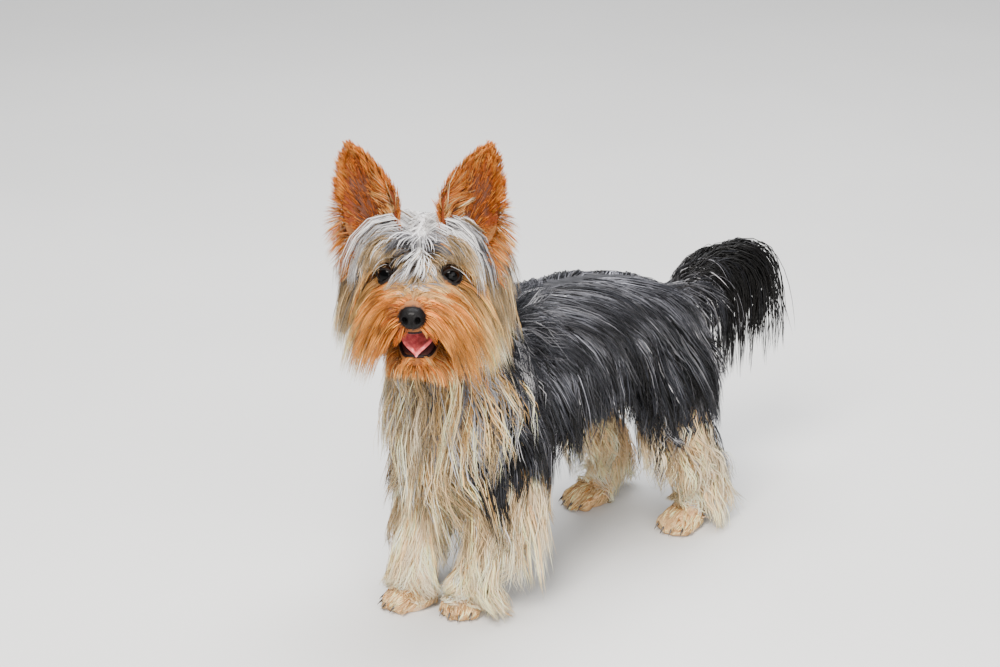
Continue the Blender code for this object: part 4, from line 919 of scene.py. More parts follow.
    @staticmethod
    def strand_faces(rings: int) -> tuple[Array, Array, Array]:
        """The corners of one strand's triangles, and where each lies on its patch."""
        faces = [(0, 1, 2)]
        for k in range(rings - 1):
            for j in range(3):
                a, b = 3 * k + j, 3 * k + (j + 1) % 3
                faces += [(a, a + 3, b), (b, a + 3, b + 3)]
        tip, last = rings * 3, rings * 3 - 3
        faces += [(last + j, tip, last + (j + 1) % 3) for j in range(3)]
        loops = np.array(faces).ravel()
        v = np.where(loops == tip, 1.0, (loops // 3) / rings)
        u = np.where(loops == tip, 0.5, (loops % 3) / 2)
        return loops, u, v


class Finish:
    """A procedural material, built node by node."""

    def __init__(self, name: str, roughness: float, specular: float = 0.5) -> None:
        """Starts a material with one shader.

        Args:
            name: the material's name.
            roughness: how matt it is.
            specular: how strongly it shines.
        """
        self.material = bpy.data.materials.new(name)
        self.material.use_nodes = True
        self.tree = self.material.node_tree
        self.shader = self.tree.nodes["Principled BSDF"]
        self.set(Roughness=roughness, Specular_IOR_Level=specular)

    def node(self, kind: str, **inputs: object) -> bpy.types.Node:
        """Adds a node and sets or links its inputs, their names given with _ for a space."""
        made = self.tree.nodes.new(kind)
        for name, value in inputs.items():
            self.feed(made.inputs[name.replace("_", " ")], value)
        return made

    def feed(self, socket: bpy.types.NodeSocket, value: object) -> None:
        """Links a socket to another, or sets its value."""
        if isinstance(value, bpy.types.NodeSocket):
            self.tree.links.new(value, socket)
        else:
            socket.default_value = value

    def worked_out(self, kind: str, operation: str, one: object, two: object) -> bpy.types.Node:
        """Adds a node that works something out from two values."""
        made = self.tree.nodes.new(kind)
        made.operation = operation
        self.feed(made.inputs[0], one)
        self.feed(made.inputs[1], two)
        return made

    def set(self, **inputs: float) -> None:
        """Sets inputs of the shader, their names given with _ for a space."""
        for name, value in inputs.items():
            self.shader.inputs[name.replace("_", " ")].default_value = value

    def place(self) -> bpy.types.NodeSocket:
        """Object coordinates."""
        return self.node("ShaderNodeTexCoord").outputs["Object"]

    def noise(self, scale: float, detail: float = 3.0) -> bpy.types.NodeSocket:
        """A grey noise over the object."""
        made = self.node("ShaderNodeTexNoise", Vector=self.place(), Scale=scale, Detail=detail)
        return made.outputs["Fac"]

    def coat(self) -> bpy.types.NodeSocket:
        """The markings, from the colour attribute that skin and hair share."""
        made = self.tree.nodes.new("ShaderNodeAttribute")
        made.attribute_name = "coat"
        return made.outputs["Color"]

    def mix(self, share: object, one: object, two: object, kind: str = "MIX") -> object:
        """Two colours mixed by a share."""
        made = self.tree.nodes.new("ShaderNodeMix")
        made.data_type, made.blend_type = "RGBA", kind
        for i, value in ((0, share), (6, one), (7, two)):
            self.feed(made.inputs[i], value)
        return made.outputs[2]

    def ramp(self, source: object, *stops: tuple[float, tuple]) -> bpy.types.NodeSocket:
        """A colour ramp through stops."""
        made = self.node("ShaderNodeValToRGB", Fac=source)
        while len(made.color_ramp.elements) < len(stops):
            made.color_ramp.elements.new(0.5)
        for element, (position, colour) in zip(made.color_ramp.elements, stops):
            element.position, element.color = position, (*colour, 1)
        return made.outputs["Color"]

    def colour(self, source: object) -> None:
        """Sets what the shader's colour comes from."""
        self.tree.links.new(source, self.shader.inputs["Base Color"])

    def bump(self, source: object, distance: float, strength: float = 1.0) -> None:
        """Raises the surface by a height in metres."""
        made = self.node("ShaderNodeBump", Height=source, Distance=distance, Strength=strength)
        self.tree.links.new(made.outputs["Normal"], self.shader.inputs["Normal"])


@dataclass(frozen=True)
class HairFinish:
    """Silky hair, whose colour each strand carries, with fine streaks along it."""

    roughness: float = 0.34
    specular: float = 0.20
    streaks: Triple = (2300.0, 120.0, 1.0)

    def material(self) -> bpy.types.Material:
        """The material."""
        made = Finish("hair", self.roughness, self.specular)
        chart = made.tree.nodes.new("ShaderNodeUVMap")
        chart.uv_map = "OFBake"
        stretched = made.node("ShaderNodeMapping", Vector=chart.outputs["UV"],
                              Scale=self.streaks)
        streak = made.node("ShaderNodeTexNoise", Vector=stretched.outputs["Vector"], Scale=1.0,
                           Detail=2.0).outputs["Fac"]
        tint = made.ramp(streak, (0.35, (0.76,) * 3), (0.65, (1.0,) * 3))
        made.colour(made.mix(1.0, made.coat(), tint, "MULTIPLY"))
        made.bump(streak, 0.00012, 0.7)
        return made.material


@dataclass(frozen=True)
class SkinFinish:
    """Skin and the short hair close to it."""

    roughness: float = 0.62
    fuzz: float = 1400.0

    def material(self) -> bpy.types.Material:
        """The material."""
        made = Finish("skin", self.roughness, 0.3)
        fuzz = made.noise(self.fuzz, 4.0)
        tint = made.ramp(fuzz, (0.32, (0.62, 0.60, 0.60)), (0.68, (1.0,) * 3))
        made.colour(made.mix(1.0, made.coat(), tint, "MULTIPLY"))
        made.bump(fuzz, 0.0006, 0.8)
        return made.material


@dataclass(frozen=True)
class EyeFinish:
    """A dark brown eye under a clear wet surface."""

    centre: Triple
    looks: Triple

    def material(self) -> bpy.types.Material:
        """The material."""
        made = Finish("eye", 0.25, 0.0)
        made.set(Coat_Weight=0.20, Coat_Roughness=0.015, Coat_IOR=1.45)
        away = made.worked_out("ShaderNodeVectorMath", "SUBTRACT", made.place(), self.centre)
        facing = made.worked_out("ShaderNodeVectorMath", "DOT_PRODUCT", away.outputs["Vector"],
                                 self.looks)
        share = made.worked_out("ShaderNodeMath", "DIVIDE", facing.outputs["Value"], EYE_RADIUS)
        iris = made.ramp(share.outputs[0], (0.60, (0.02, 0.013, 0.010)),
                         (0.68, (0.003, 0.0015, 0.001)), (0.78, (0.018, 0.006, 0.002)),
                         (0.89, (0.009, 0.003, 0.001)), (0.92, (0.0006, 0.0006, 0.0006)))
        made.colour(iris)
        return made.material


@dataclass(frozen=True)
class NoseFinish:
    """Moist black skin with a pebbled grain."""

    deep: Triple = (0.0022, 0.0020, 0.0021)
    light: Triple = (0.005, 0.0042, 0.0042)

    def material(self) -> bpy.types.Material:
        """The material."""
        made = Finish("nose", 0.50, 0.08)
        made.set(Coat_Weight=0.06, Coat_Roughness=0.15)
        cells = made.node("ShaderNodeTexVoronoi", Vector=made.place(), Scale=1500.0)
        made.colour(made.ramp(made.noise(260.0), (0.3, self.deep), (0.7, self.light)))
        made.bump(cells.outputs["Distance"], 0.00035, 0.55)
        return made.material


@dataclass(frozen=True)
class MoistFinish:
    """Moist flesh, such as a tongue or a lip."""

    name: str
    deep: Triple
    light: Triple
    roughness: float = 0.32
    specular: float = 0.5

    def material(self) -> bpy.types.Material:
        """The material."""
        made = Finish(self.name, self.roughness, self.specular)
        made.set(Subsurface_Weight=0.12, Subsurface_Scale=0.003)
        made.colour(made.ramp(made.noise(420.0), (0.35, self.deep), (0.65, self.light)))
        made.bump(made.noise(1800.0, 4.0), 0.0004, 0.6)
        return made.material


@dataclass(frozen=True)
class ClawFinish:
    """Dark smooth horn."""

    def material(self) -> bpy.types.Material:
        """The material."""
        made = Finish("claw", 0.3, 0.5)
        made.colour(made.ramp(made.noise(500.0), (0.3, (0.018, 0.013, 0.010)),
                              (0.75, (0.10, 0.075, 0.055))))
        return made.material


@dataclass(frozen=True)
class FloorFinish:
    """A plain pale floor."""

    def material(self) -> bpy.types.Material:
        """The material."""
        made = Finish("floor", 0.85, 0.2)
        made.colour(made.ramp(made.noise(3.0), (0.3, (0.60, 0.595, 0.585)),
                              (0.7, (0.64, 0.635, 0.625))))
        return made.material


@dataclass
class Skin:
    """The whole animal under its coat, as one surface."""

    voxel: float = 0.0016
    sole: float = 0.0002
    ear_rows: int = 30
    ear_columns: int = 20

    def build(self) -> tuple[bpy.types.Object, BVHTree]:
        """Fuses the parts of the body, cuts soles and eye sockets and adds the ears.

        Returns:
            The skin, and a search tree over it without the ears.
        """
        points, faces = [], []
        legs = ((leg, 40, 28) for pair in (FRONT_LEGS, HIND_LEGS) for leg in pair.values())
        for loft, rings, around in ((TORSO, 40, 40), (NECK, 20, 36), (SKULL, 48, 48),
                                    (JAW, 20, 32), (TAIL, 24, 20), *legs):
            some, corners = loft.closed_mesh(rings, around)
            start = sum(map(len, points))
            points.append(some)
            faces += [[start + i for i in face] for face in corners]
        skin = link("skin", mesh_of("skin", np.vstack(points), faces))
        turned_outward(skin)
        for at, turn in FEET:
            self.add_foot(skin, at, turn)
        applied(skin, "REMESH", mode="VOXEL", voxel_size=self.voxel)
        applied(skin, "SMOOTH", factor=0.6, iterations=4)
        edited(skin, bpy.ops.mesh.bisect, plane_co=(0, 0, self.sole), plane_no=(0, 0, 1),
               use_fill=True, clear_inner=True)
        self.cut_sockets(skin)
        self.sort_faces(skin)
        tree = tree_of(skin)
        self.add_ears(skin)
        only(skin)
        bpy.ops.object.shade_smooth()
        return skin, tree

    @staticmethod
    def ball(centre: Array, radii: Triple, turn: float = 0.0) -> bpy.types.Object:
        """An ellipsoid at a place of the dog's frame."""
        bpy.ops.mesh.primitive_uv_sphere_add(segments=32, ring_count=20, radius=1.0,
                                             location=tuple(centre + SHIFT),
                                             rotation=(0, 0, turn), scale=radii)
        made = bpy.context.active_object
        bpy.ops.object.transform_apply(location=True, rotation=True, scale=True)
        return made

    def add_foot(self, skin: bpy.types.Object, at: tuple[float, float], turn: float) -> None:
        """Joins a paw's pad and toes to the skin's parts."""
        spin = turn_about("Z", turn)
        base = np.array((*at, 0.0))
        toe = (TOE_RADIUS, TOE_RADIUS * 1.15, TOE_RADIUS)
        balls = [self.ball(base + (0, 0, PAW_HEIGHT), PAW_RADII, turn)]
        balls += [self.ball(base + spin @ toe_place(k), toe, turn) for k in range(TOES)]
        joined_to(skin, balls)

    def cut_sockets(self, skin: bpy.types.Object) -> None:
        """Cuts the room of both eyes out of the skin."""
        for side in (1, -1):
            centre, _ = eye_place(side)
            room = self.ball(in_head(centre), (EYE_RADIUS + 0.0002,) * 3)
            applied(skin, "BOOLEAN", operation="DIFFERENCE", solver="MANIFOLD", object=room)
            bpy.data.objects.remove(room)

    @staticmethod
    def sort_faces(skin: bpy.types.Object) -> None:
        """Puts the faces in order of their corners, as the boolean leaves their order open."""
        faces = []
        for face in skin.data.polygons:
            corners = list(face.vertices)
            first = corners.index(min(corners))
            faces.append(corners[first:] + corners[:first])
        data = bpy.data.meshes.new(skin.data.name)
        data.from_pydata([vertex.co[:] for vertex in skin.data.vertices], [], sorted(faces))
        skin.data = data

    def add_ears(self, skin: bpy.types.Object) -> None:
        """Joins the leaf of each ear, rounded at its edge, to the skin."""
        ears = []
        for side in (1, -1):
            share = np.repeat(np.linspace(EAR_START, 1.0, self.ear_rows), self.ear_columns)
            t = np.tile(np.linspace(-1, 1, self.ear_columns), self.ear_rows)
            starts = (i * self.ear_columns + j for i in range(self.ear_rows - 1)
                      for j in range(self.ear_columns - 1))
            faces = [[a, a + 1, a + self.ear_columns + 1, a + self.ear_columns] for a in starts]
            leaf = link("leaf", mesh_of("leaf", ear_points(side, share, t), faces))
            applied(leaf, "SOLIDIFY", thickness=EAR_THICKNESS, offset=0.0)
            applied(leaf, "BEVEL", width=0.0006, segments=2, limit_method="ANGLE")
            turned_outward(leaf)
            ears.append(leaf)
        joined_to(skin, ears)

    def dress(self, skin: bpy.types.Object, coats: list[Coat]) -> None:
        """Gives the skin the markings of the hair that grows on it, darkened as painted shade
        under the hair, and bare skin its own colours.
        """
        roots = np.vstack([coat.seeds.root for coat in coats])
        tone = np.concatenate([coat.seeds.tone for coat in coats])
        near, points = search_tree(roots), coordinates(skin)
        found = np.array([[hit[1] for hit in near.find_n(point, 6)] for point in points.tolist()])
        colours = (0.6 * ROOT_COLOURS + 0.4 * TIP_COLOURS)[tone[found]].mean(axis=1)
        # Painted shade under the hair: the skin is darkened, less so under pale hair.
        colours *= (0.60 + 0.32 * ease(colours.mean(axis=1), 0.25, 0.60))[:, None]
        normals = np.empty(len(points) * 3, np.float32)
        skin.data.vertices.foreach_get("normal", normals)
        local, normals = to_head(points), normals.reshape(-1, 3) @ HEAD_TURNED
        self.bare_face(colours, local, normals)
        self.bare_ears(colours, local, normals)
        colour_points(skin.data, colours)

    @staticmethod
    def bare_face(colours: Array, local: Array, normals: Array) -> None:
        """Colours the skin of mouth, lids and nose, the mouth with painted shade, at points of the
        head's own frame.
        """
        x, y, z = local.T
        inner = (np.abs(x) < 0.0165) & (y > -0.036) & (y < 0.016) & (z > -0.0425) & (z < -0.0200)
        roof = inner & (normals[:, 2] < -0.55) & (z > -0.034)
        bed = inner & (normals[:, 2] > 0.45)
        # The roof and bed of the mouth: dark lining with painted shade of the open mouth.
        colours[roof | bed] = MOUTH_SKIN_AND_SHADE
        for side in (1, -1):
            near_eye = np.linalg.norm(local - eye_place(side)[0], axis=1) < EYE_RADIUS + 0.0018
            colours[near_eye] = EYE_SKIN
        pad = np.hypot(x / 0.0088, (z - NOSE_CENTRE[2]) / 0.0078) < 1
        colours[pad & (y < -0.0300)] = NOSE_SKIN

    @staticmethod
    def bare_ears(colours: Array, local: Array, normals: Array) -> None:
        """Colours the skin of the ears, the cup with painted shade of the hollow, at points of the
        head's own frame.
        """
        rise = np.stack((np.abs(local[:, 0]), local[:, 1], local[:, 2]), 1) - EAR_ROOT
        axis = EAR_TIP - EAR_ROOT
        share = rise @ axis / (axis**2).sum()
        ears = (share > 0.12) & (local[:, 2] > 0.026)
        half = EAR_WIDTH / 2 * (1.001 - np.clip(share, 0, 1) ** EAR_TAPER)
        rim = np.abs(rise[:, 0] - share * axis[0]) / half
        cup = ears & (rim < 0.55) & (share < 0.66) & (normals[:, 1] < 0)
        colours[ears] = ROOT_COLOURS[TONES.index(Tone.RUST)]
        # The ear's cup: dark brown skin, partly painted shade of the hollow.
        colours[cup] = CUP_SKIN_AND_SHADE


# The lips' lines on skull and jaw: share of the axis, and degrees above the side.
UPPER_LIP = ((0.62, -38), (0.70, -40), (0.78, -42), (0.86, -45), (0.93, -50), (0.965, -58),
             (0.982, -76))
LOWER_LIP = ((0.20, 22), (0.40, 24), (0.60, 26), (0.80, 30), (0.95, 44), (1.0, 70))
LID_FINISH = MoistFinish("eyelid", (0.003, 0.002, 0.002), (0.007, 0.005, 0.004), 0.55, 0.12)
LIP_FINISH = MoistFinish("lip", (0.004, 0.002, 0.002), (0.012, 0.005, 0.005), 0.45, 0.15)
TONGUE_FINISH = MoistFinish("tongue", (0.52, 0.060, 0.065), (0.80, 0.17, 0.165), 0.28)


def toe_spread(k: int) -> float:
    """How far across its paw a toe is, from -1 to 1."""
    middle = (TOES - 1) / 2
    return (k - middle) / middle


def toe_place(k: int) -> Array:
    """The centre of a toe, in its paw's own frame."""
    spread = toe_spread(k)
    return np.array((spread * 0.0084, -PAW_RADII[1] * (0.86 - 0.24 * spread * spread),
                     TOE_RADIUS * 0.82))


@dataclass
class Face:
    """Eyes, lids, nose, lips and tongue."""

    lid_wide: float = math.radians(43)
    lid_high: float = math.radians(33)
    lid_radius: float = 0.0007

    def eye(self, side: int) -> bpy.types.Object:
        """An eyeball with a slightly raised clear front."""
        centre, looks = eye_place(side)
        place, way = in_head(centre), turned_in_head(looks)
        bpy.ops.mesh.primitive_uv_sphere_add(segments=48, ring_count=32, radius=EYE_RADIUS,
                                             location=tuple(place + SHIFT))
        eye = just_added("eyeball_" + SIDES[side])
        points = coordinates(eye) - place
        front = np.clip((points @ way) / EYE_RADIUS, 0, 1)
        points *= (1 + 0.045 * ease(front, 0.72, 1.0))[:, None]
        put_coordinates(eye, points + place)
        eye.data.materials.append(EyeFinish(tuple(place + SHIFT), tuple(way)).material())
        return eye

    def lids(self, side: int) -> bpy.types.Object:
        """The dark rims of an eye's lids, drawn to a corner on each side."""
        centre, looks = eye_place(side)
        right = unit(np.cross(looks, UP))
        upward = unit(np.cross(right, looks))
        thin = 0.1
        bpy.ops.mesh.primitive_torus_add(major_segments=56, minor_segments=12,
                                         major_radius=1.0, minor_radius=thin)
        lids = just_added("eyelids_" + SIDES[side])
        flat = coordinates(lids) + SHIFT
        turn = np.arctan2(flat[:, 1], flat[:, 0])
        spread = (np.hypot(flat[:, 0], flat[:, 1]) - 1) / thin
        rise = flat[:, 2] / thin
        cosine, sine = np.cos(turn), np.sin(turn)
        high = np.where(sine > 0, self.lid_high, self.lid_high * 0.86)
        a = self.lid_wide * cosine * (1 + 0.08 * np.abs(cosine) ** 4)
        b = high * np.sign(sine) * np.abs(sine) ** 1.15 - 0.05 * cosine * side
        radius = self.lid_radius * np.where(sine > 0, 1.15, 0.9)
        a_out = a + spread * cosine * radius / EYE_RADIUS
        b_out = b + spread * sine * radius / EYE_RADIUS
        way = (np.cos(b_out) * np.cos(a_out))[:, None] * looks
        way = way + (np.cos(b_out) * np.sin(a_out))[:, None] * right
        way = unit(way + np.sin(b_out)[:, None] * upward)
        reach = EYE_RADIUS + 0.0003 + rise * radius * 0.8
        put_coordinates(lids, in_head(centre + way * reach[:, None]))
        turned_outward(lids)
        lids.data.materials.append(LID_FINISH.material())
        return lids

    def nose(self) -> bpy.types.Object:
        """The nose pad, with nostrils that curl out to the side and a groove below."""
        bpy.ops.mesh.primitive_uv_sphere_add(segments=96, ring_count=64, radius=1.0,
                                             rotation=(math.pi / 2, 0, 0))
        nose = just_added("nose_pad")
        points = coordinates(nose) + SHIFT
        x, y, z = points.T
        shape = np.sign(points) * np.abs(points) ** np.array((0.86, 0.95, 0.88))
        shape[:, 0] *= 1.0 - 0.20 * ease(-z, 0.1, 0.9) + 0.02 * z
        depth = np.zeros(len(points))
        for side in (1, -1):
            hole = np.hypot((x - side * 0.43) / 0.20, (z - 0.02) / 0.24)
            depth += 0.62 * np.exp(-hole**4)
            slit_rise = z + 0.10 + 0.25 * (np.abs(x) - 0.55)
            slit = np.hypot((x - side * 0.70) / 0.30, slit_rise / 0.10)
            depth += 0.20 * np.exp(-slit**2)
            wing = np.hypot((x - side * 0.66) / 0.26, (z - 0.18) / 0.30)
            depth -= 0.10 * np.exp(-wing**2)
        depth += 0.14 * np.exp(-(x / 0.07) ** 2) * ease(-z, -0.25, 0.2)
        shape[:, 1] += depth * ease(-y, -0.1, 0.9)
        put_coordinates(nose, in_head(NOSE_CENTRE + shape * NOSE_RADII))
        nose.data.materials.append(NoseFinish().material())
        return nose

    def lips(self) -> bpy.types.Object:
        """The dark rims of the mouth, above and below."""
        pieces = []
        for loft, path, radius in ((SKULL, UPPER_LIP, 0.0009), (JAW, LOWER_LIP, 0.0011)):
            along = np.array([row[0] for row in path])
            angle = np.radians([row[1] for row in path])
            both_along = np.concatenate((along, along[::-1]))
            both_angle = np.concatenate((angle, math.pi - angle[::-1]))
            line = loft.points(both_along, both_angle, -0.0004)
            curve = bpy.data.curves.new("lip", "CURVE")
            curve.dimensions, curve.bevel_depth, curve.bevel_resolution = "3D", radius, 3
            curve.use_fill_caps, curve.resolution_u = True, 6
            spline = curve.splines.new("BEZIER")
            spline.bezier_points.add(len(line) - 1)
            for knot, at in zip(spline.bezier_points, line + SHIFT):
                knot.co = at
                knot.handle_left_type = knot.handle_right_type = "AUTO"
            made = bpy.data.objects.new("lips", curve)
            bpy.context.scene.collection.objects.link(made)
            pieces.append(made)
        bpy.ops.object.select_all(action="DESELECT")
        for made in pieces:
            made.select_set(True)
        bpy.context.view_layer.objects.active = pieces[0]
        bpy.ops.object.convert(target="MESH")
        bpy.ops.object.join()
        lips = just_added("lips")
        lips.data.materials.append(LIP_FINISH.material())
        return lips

    def tongue(self) -> bpy.types.Object:
        """The tongue, curled up at its edges, lying in the lower jaw."""
        bpy.ops.mesh.primitive_grid_add(x_subdivisions=16, y_subdivisions=24, size=2.0)
        tongue = just_added("tongue_flesh")
        flat = coordinates(tongue) + SHIFT
        t, s = flat[:, 0], (flat[:, 1] + 1) / 2
        y = 0.014 - 0.0385 * s
        z = -0.0228 - 0.0200 * s
        half = np.interp(s, (0, 0.6, 0.85, 0.96, 1.0), (0.0110, 0.0112, 0.0096, 0.0062, 0.0022))
        points = np.stack((t * half, y, z + 0.0052 * np.abs(t) ** 1.6 * (0.6 + 0.4 * s)
                           - 0.0012 * np.exp(-(t / 0.18) ** 2)), 1)
        put_coordinates(tongue, in_head(points))
        applied(tongue, "SOLIDIFY", thickness=0.0022, offset=-1.0)
        applied(tongue, "SUBSURF", levels=1, render_levels=1)
        turned_outward(tongue)
        fixed(tongue)
        tongue.data.materials.append(TONGUE_FINISH.material())
        return tongue

    def build(self) -> None:
        """Makes every piece of the face and puts it on the model."""
        for side, word in SIDES.items():
            eye, lids = self.eye(side), self.lids(side)
            wear(eye, "eye", "eye_" + word)
            wear(lids, "skin")
        wear(self.nose(), "nose", "nose")
        wear(self.lips(), "skin")
        wear(self.tongue(), "tongue", "tongue")


@dataclass
class Claws:
    """Four claws to each foot."""

    radius: float = 0.0013
    clear: float = 0.0003

    def build(self) -> None:
        """Makes a claw for each toe and joins all."""
        first, *others = [self.claw(k, at, turn) for at, turn in FEET for k in range(TOES)]
        joined_to(first, others)
        made = just_added("claws")
        made.data.materials.append(ClawFinish().material())
        wear(made, "claw")

    def claw(self, k: int, at: tuple[float, float], turn: float) -> bpy.types.Object:
        """One claw, bent down from its toe.

        Args:
            k: the toe's number.
            at: where the foot stands.
            turn: how far the foot turns out.

        Returns:
            The claw.
        """
        bpy.ops.mesh.primitive_cone_add(vertices=12, radius1=self.radius,
                                        radius2=self.radius * 0.12, depth=1.0,
                                        location=(0, 0, 0.5))
        claw = just_added("claw")
        edited(claw, bpy.ops.mesh.subdivide, number_cuts=4)
        raw, spread = coordinates(claw) + SHIFT, toe_spread(k)
        s = raw[:, 2]
        shape = np.stack((raw[:, 0] + spread * 0.0012 * s, -s * CLAW_LENGTH * 0.82,
                          raw[:, 1] * 1.2 - CLAW_LENGTH * 0.50 * s**2), 1)
        base = toe_place(k) + (spread * 0.0008, -TOE_RADIUS * 0.7, 0.0016)
        points = np.array((*at, 0.0)) + (base + shape) @ turn_about("Z", turn).T
        points[:, 2] = np.maximum(points[:, 2], self.clear)
        put_coordinates(claw, points)
        turned_outward(claw)
        return claw


def wear(piece: bpy.types.Object, slot: str, *nodes: str) -> None:
    """Puts a finished piece on the model, in place of the solids that it stands for."""
    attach(piece, "root")
    if nodes:
        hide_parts(*nodes)
    log.info("%s: %d faces", piece.name, len(piece.data.polygons))


@dataclass
class Groomer:
    """Works out where each region's hair grows and how it lies.

    Beside the seed of the random numbers, it holds how many strands are sown on each region, and
    on each single leg, ear and paw.
    """

    seed: int = 7
    torso: int = 13600
    neck: int = 6500
    head: int = 15200
    jaw: int = 1500
    front_leg: int = 2900
    hind_leg: int = 2300
    tail: int = 900
    ear: int = 4200
    paw: int = 1300

    def seeds_on(self, loft: Loft, along: Array, angle: Array, lie: Array, length: Array,
                 stand: Array | float, hang: Array | float, tone: Array, curl: float = 1.0,
                 **more: float) -> Seeds:
        """Seeds at places of a loft.

        Args:
            loft: the surface.
            along: shares of its axis.
            angle: angles round it.
            lie: the way each strand lies.
            length: how long each is.
            stand: how far its tip stands off the skin.
            hang: how strongly it turns down at each step.
            tone: the number of its tone.
            curl: how strongly the lie swirls.
            more: how it clings to the skin, and how steeply it starts.

        Returns:
            The seeds.
        """
        count = len(along)
        out, _, _ = loft.ways(along, angle)
        patch = np.stack((along, (angle / math.tau) % 1), 1)
        root = loft.points(along, angle)
        full = np.ones(count)
        lie = unit(lie)
        swirl = 0.16 * ripple(root, 0.034, self.seed) + 0.10 * ripple(root, 0.012, self.seed + 1)
        lie = unit(lie + np.cross(out, lie) * (curl * swirl)[:, None])
        length = length * swell(root, 0.014, self.seed + 2, 0.10)
        stand = stand * swell(root, 0.020, self.seed + 3, 0.22)
        return Seeds(root, out, lie, length, stand * full, hang * full, tone, patch, **more)

    @staticmethod
    def cap_seeds(loft: Loft, count: int, draw: np.random.Generator, inner: float, length: float,
                  drop: float, chances: dict[Tone, float]) -> Seeds:
        """Seeds over the front end of a loft, which fan out from its middle.

        Args:
            loft: the muzzle or the jaw.
            count: how many seeds.
            draw: the random numbers.
            inner: the share of the end's size where they start.
            length: how long they are at the rim.
            drop: how strongly they lie down.
            chances: the tones.

        Returns:
            The seeds.
        """
        angle = draw.uniform(0, math.tau, count)
        share = np.sqrt(draw.uniform(inner * inner, 1.05, count))[:, None]
        rim = loft.points(np.ones(count), angle)
        centre = in_head(loft.rows[-1][:3])
        ahead = turned_in_head(loft.ahead)
        root = centre + (rim - centre) * share + ahead * 0.0015 * (1 - share)
        fan = unit(rim - centre)
        lie = fan + ahead * 0.15 + turned_in_head(np.array((0, 0, -drop)))
        full = np.ones(count)
        sizes = length * (0.5 + 0.5 * share[:, 0]) * draw.uniform(0.7, 1.2, count)
        patch = np.stack((0.985 + 0 * full, angle / math.tau), 1)
        return Seeds(root, ahead * full[:, None], unit(lie), sizes, 0.0012 * full, 0.12 * full,
                     tones(draw, count, chances), patch, 0.0, 0.25)

    def torso_coat(self, draw: np.random.Generator) -> Coat:
        """The coat parted on the spine, which falls down both sides to the hem."""
        weight = np.where(np.sin(GRID_ANGLE) < -0.55, 0.35, 1.0)
        along, angle = sow(TORSO, self.torso, draw, weight=weight)
        root = TORSO.points(along, angle)
        _, round_way, _ = TORSO.ways(along, angle)
        side = np.where(np.cos(angle) >= 0, 1.0, -1.0)
        top = ease(np.sin(angle), 0.3, 1.0)
        down = -side[:, None] * round_way
        lie = down * (1 - 0.35 * top)[:, None] + BACK * (0.26 + 0.50 * top)[:, None]
        front = ease(-root[:, 1], 0.072, 0.094)
        fall = unit(DOWN + np.stack((7 * root[:, 0], 0 * side, 0 * side), 1))
        lie = lie * (1 - front)[:, None] + fall * front[:, None]
        rump = ease(root[:, 1], 0.110, 0.130)
        over = DOWN * (1 - 0.8 * top)[:, None] + BACK * (0.08 + 0.9 * top)[:, None]
        lie = lie * (1 - rump)[:, None] + over * rump[:, None]
        hem = np.interp(root[:, 1] + 0.012, *zip(*HEM))
        hem = hem + 0.007 * ripple(root * HANGING, 0.016, self.seed + 6)
        locks = ripple(root * HANGING, 0.007, self.seed - 2)
        hem = hem + 0.013 * ease(-root[:, 1], 0.025, 0.05) * locks
        ragged = 0.005 + 0.009 * ease(-root[:, 1], 0.035, 0.055)
        to_hem = (root[:, 2] - hem + draw.normal(0, 1, len(root)) * ragged) * 1.12
        length = np.minimum(draw.uniform(0.055, 0.088, len(root)), np.maximum(to_hem, 0.022))
        length *= 1 - 0.55 * rump * top
        under = ease(-np.sin(angle), 0.45, 0.8)
        length = length * (1 - under) + 0.022 * under
        length = length * (1 - front) + draw.uniform(0.060, 0.100, len(root)) * front
        stand = draw.uniform(0.45, 1.0, len(root)) * (0.013 - 0.0065 * top) * (1 - 0.6 * rump)
        light = front * ease(0.040 - np.abs(root[:, 0] + 0.004), 0.0, 0.012)
        pale = ease(root[:, 1], 0.085, 0.125) * ease(root[:, 2], 0.130, 0.155)
        # Painted sheen: strands rooted on the top of the back are paler (slate, grey) and fewer
        # are black, as where the light falls on it.
        painted_sheen = ease(root[:, 2], 0.150, 0.182) * (1 - front)
        dark, open_side = 1 - 0.92 * light, 1 - under
        streak = swell(root * FALLING, 0.011, self.seed + 4, 0.8)
        patch = swell(root * FALLING, 0.024, self.seed + 8, 1.3)
        tone = tones(draw, len(root), {
            Tone.STEEL: 0.46 * dark * (1 - 0.7 * pale) * open_side,
            Tone.BLACK: 0.55 * dark * (1 - pale) * (1 - 0.9 * painted_sheen) * open_side,
            Tone.GREY: (0.015 * dark + 0.50 * pale + 0.10 * painted_sheen) * streak + 0.06 * light,
            Tone.SLATE: (0.05 * dark + 0.30 * pale + 0.95 * painted_sheen) * open_side * (1 - light),
            Tone.SILVER: (0.24 * pale + 0.012 * painted_sheen) * streak + 0.08 * light + 0.1 * under,
            Tone.BLOND: (0.22 * light + 0.4 * under) * patch,
            Tone.GOLD: 0.18 * light + 0.3 * under,
            Tone.FAWN: (0.46 * light + 0.3 * under) / patch,
        })
        seeds = self.seeds_on(TORSO, along, angle, lie, length, stand, 0.14, tone)
        return Coat("coat_torso", seeds, draw, steps=5, width=0.00085, flat=0.22, clump=0.36,
                    lock=0.58, members=10, wave=0.0012, frizz=0.0008, gloom=0.20,
                    painted_gleam=0.45, alike=0.35)

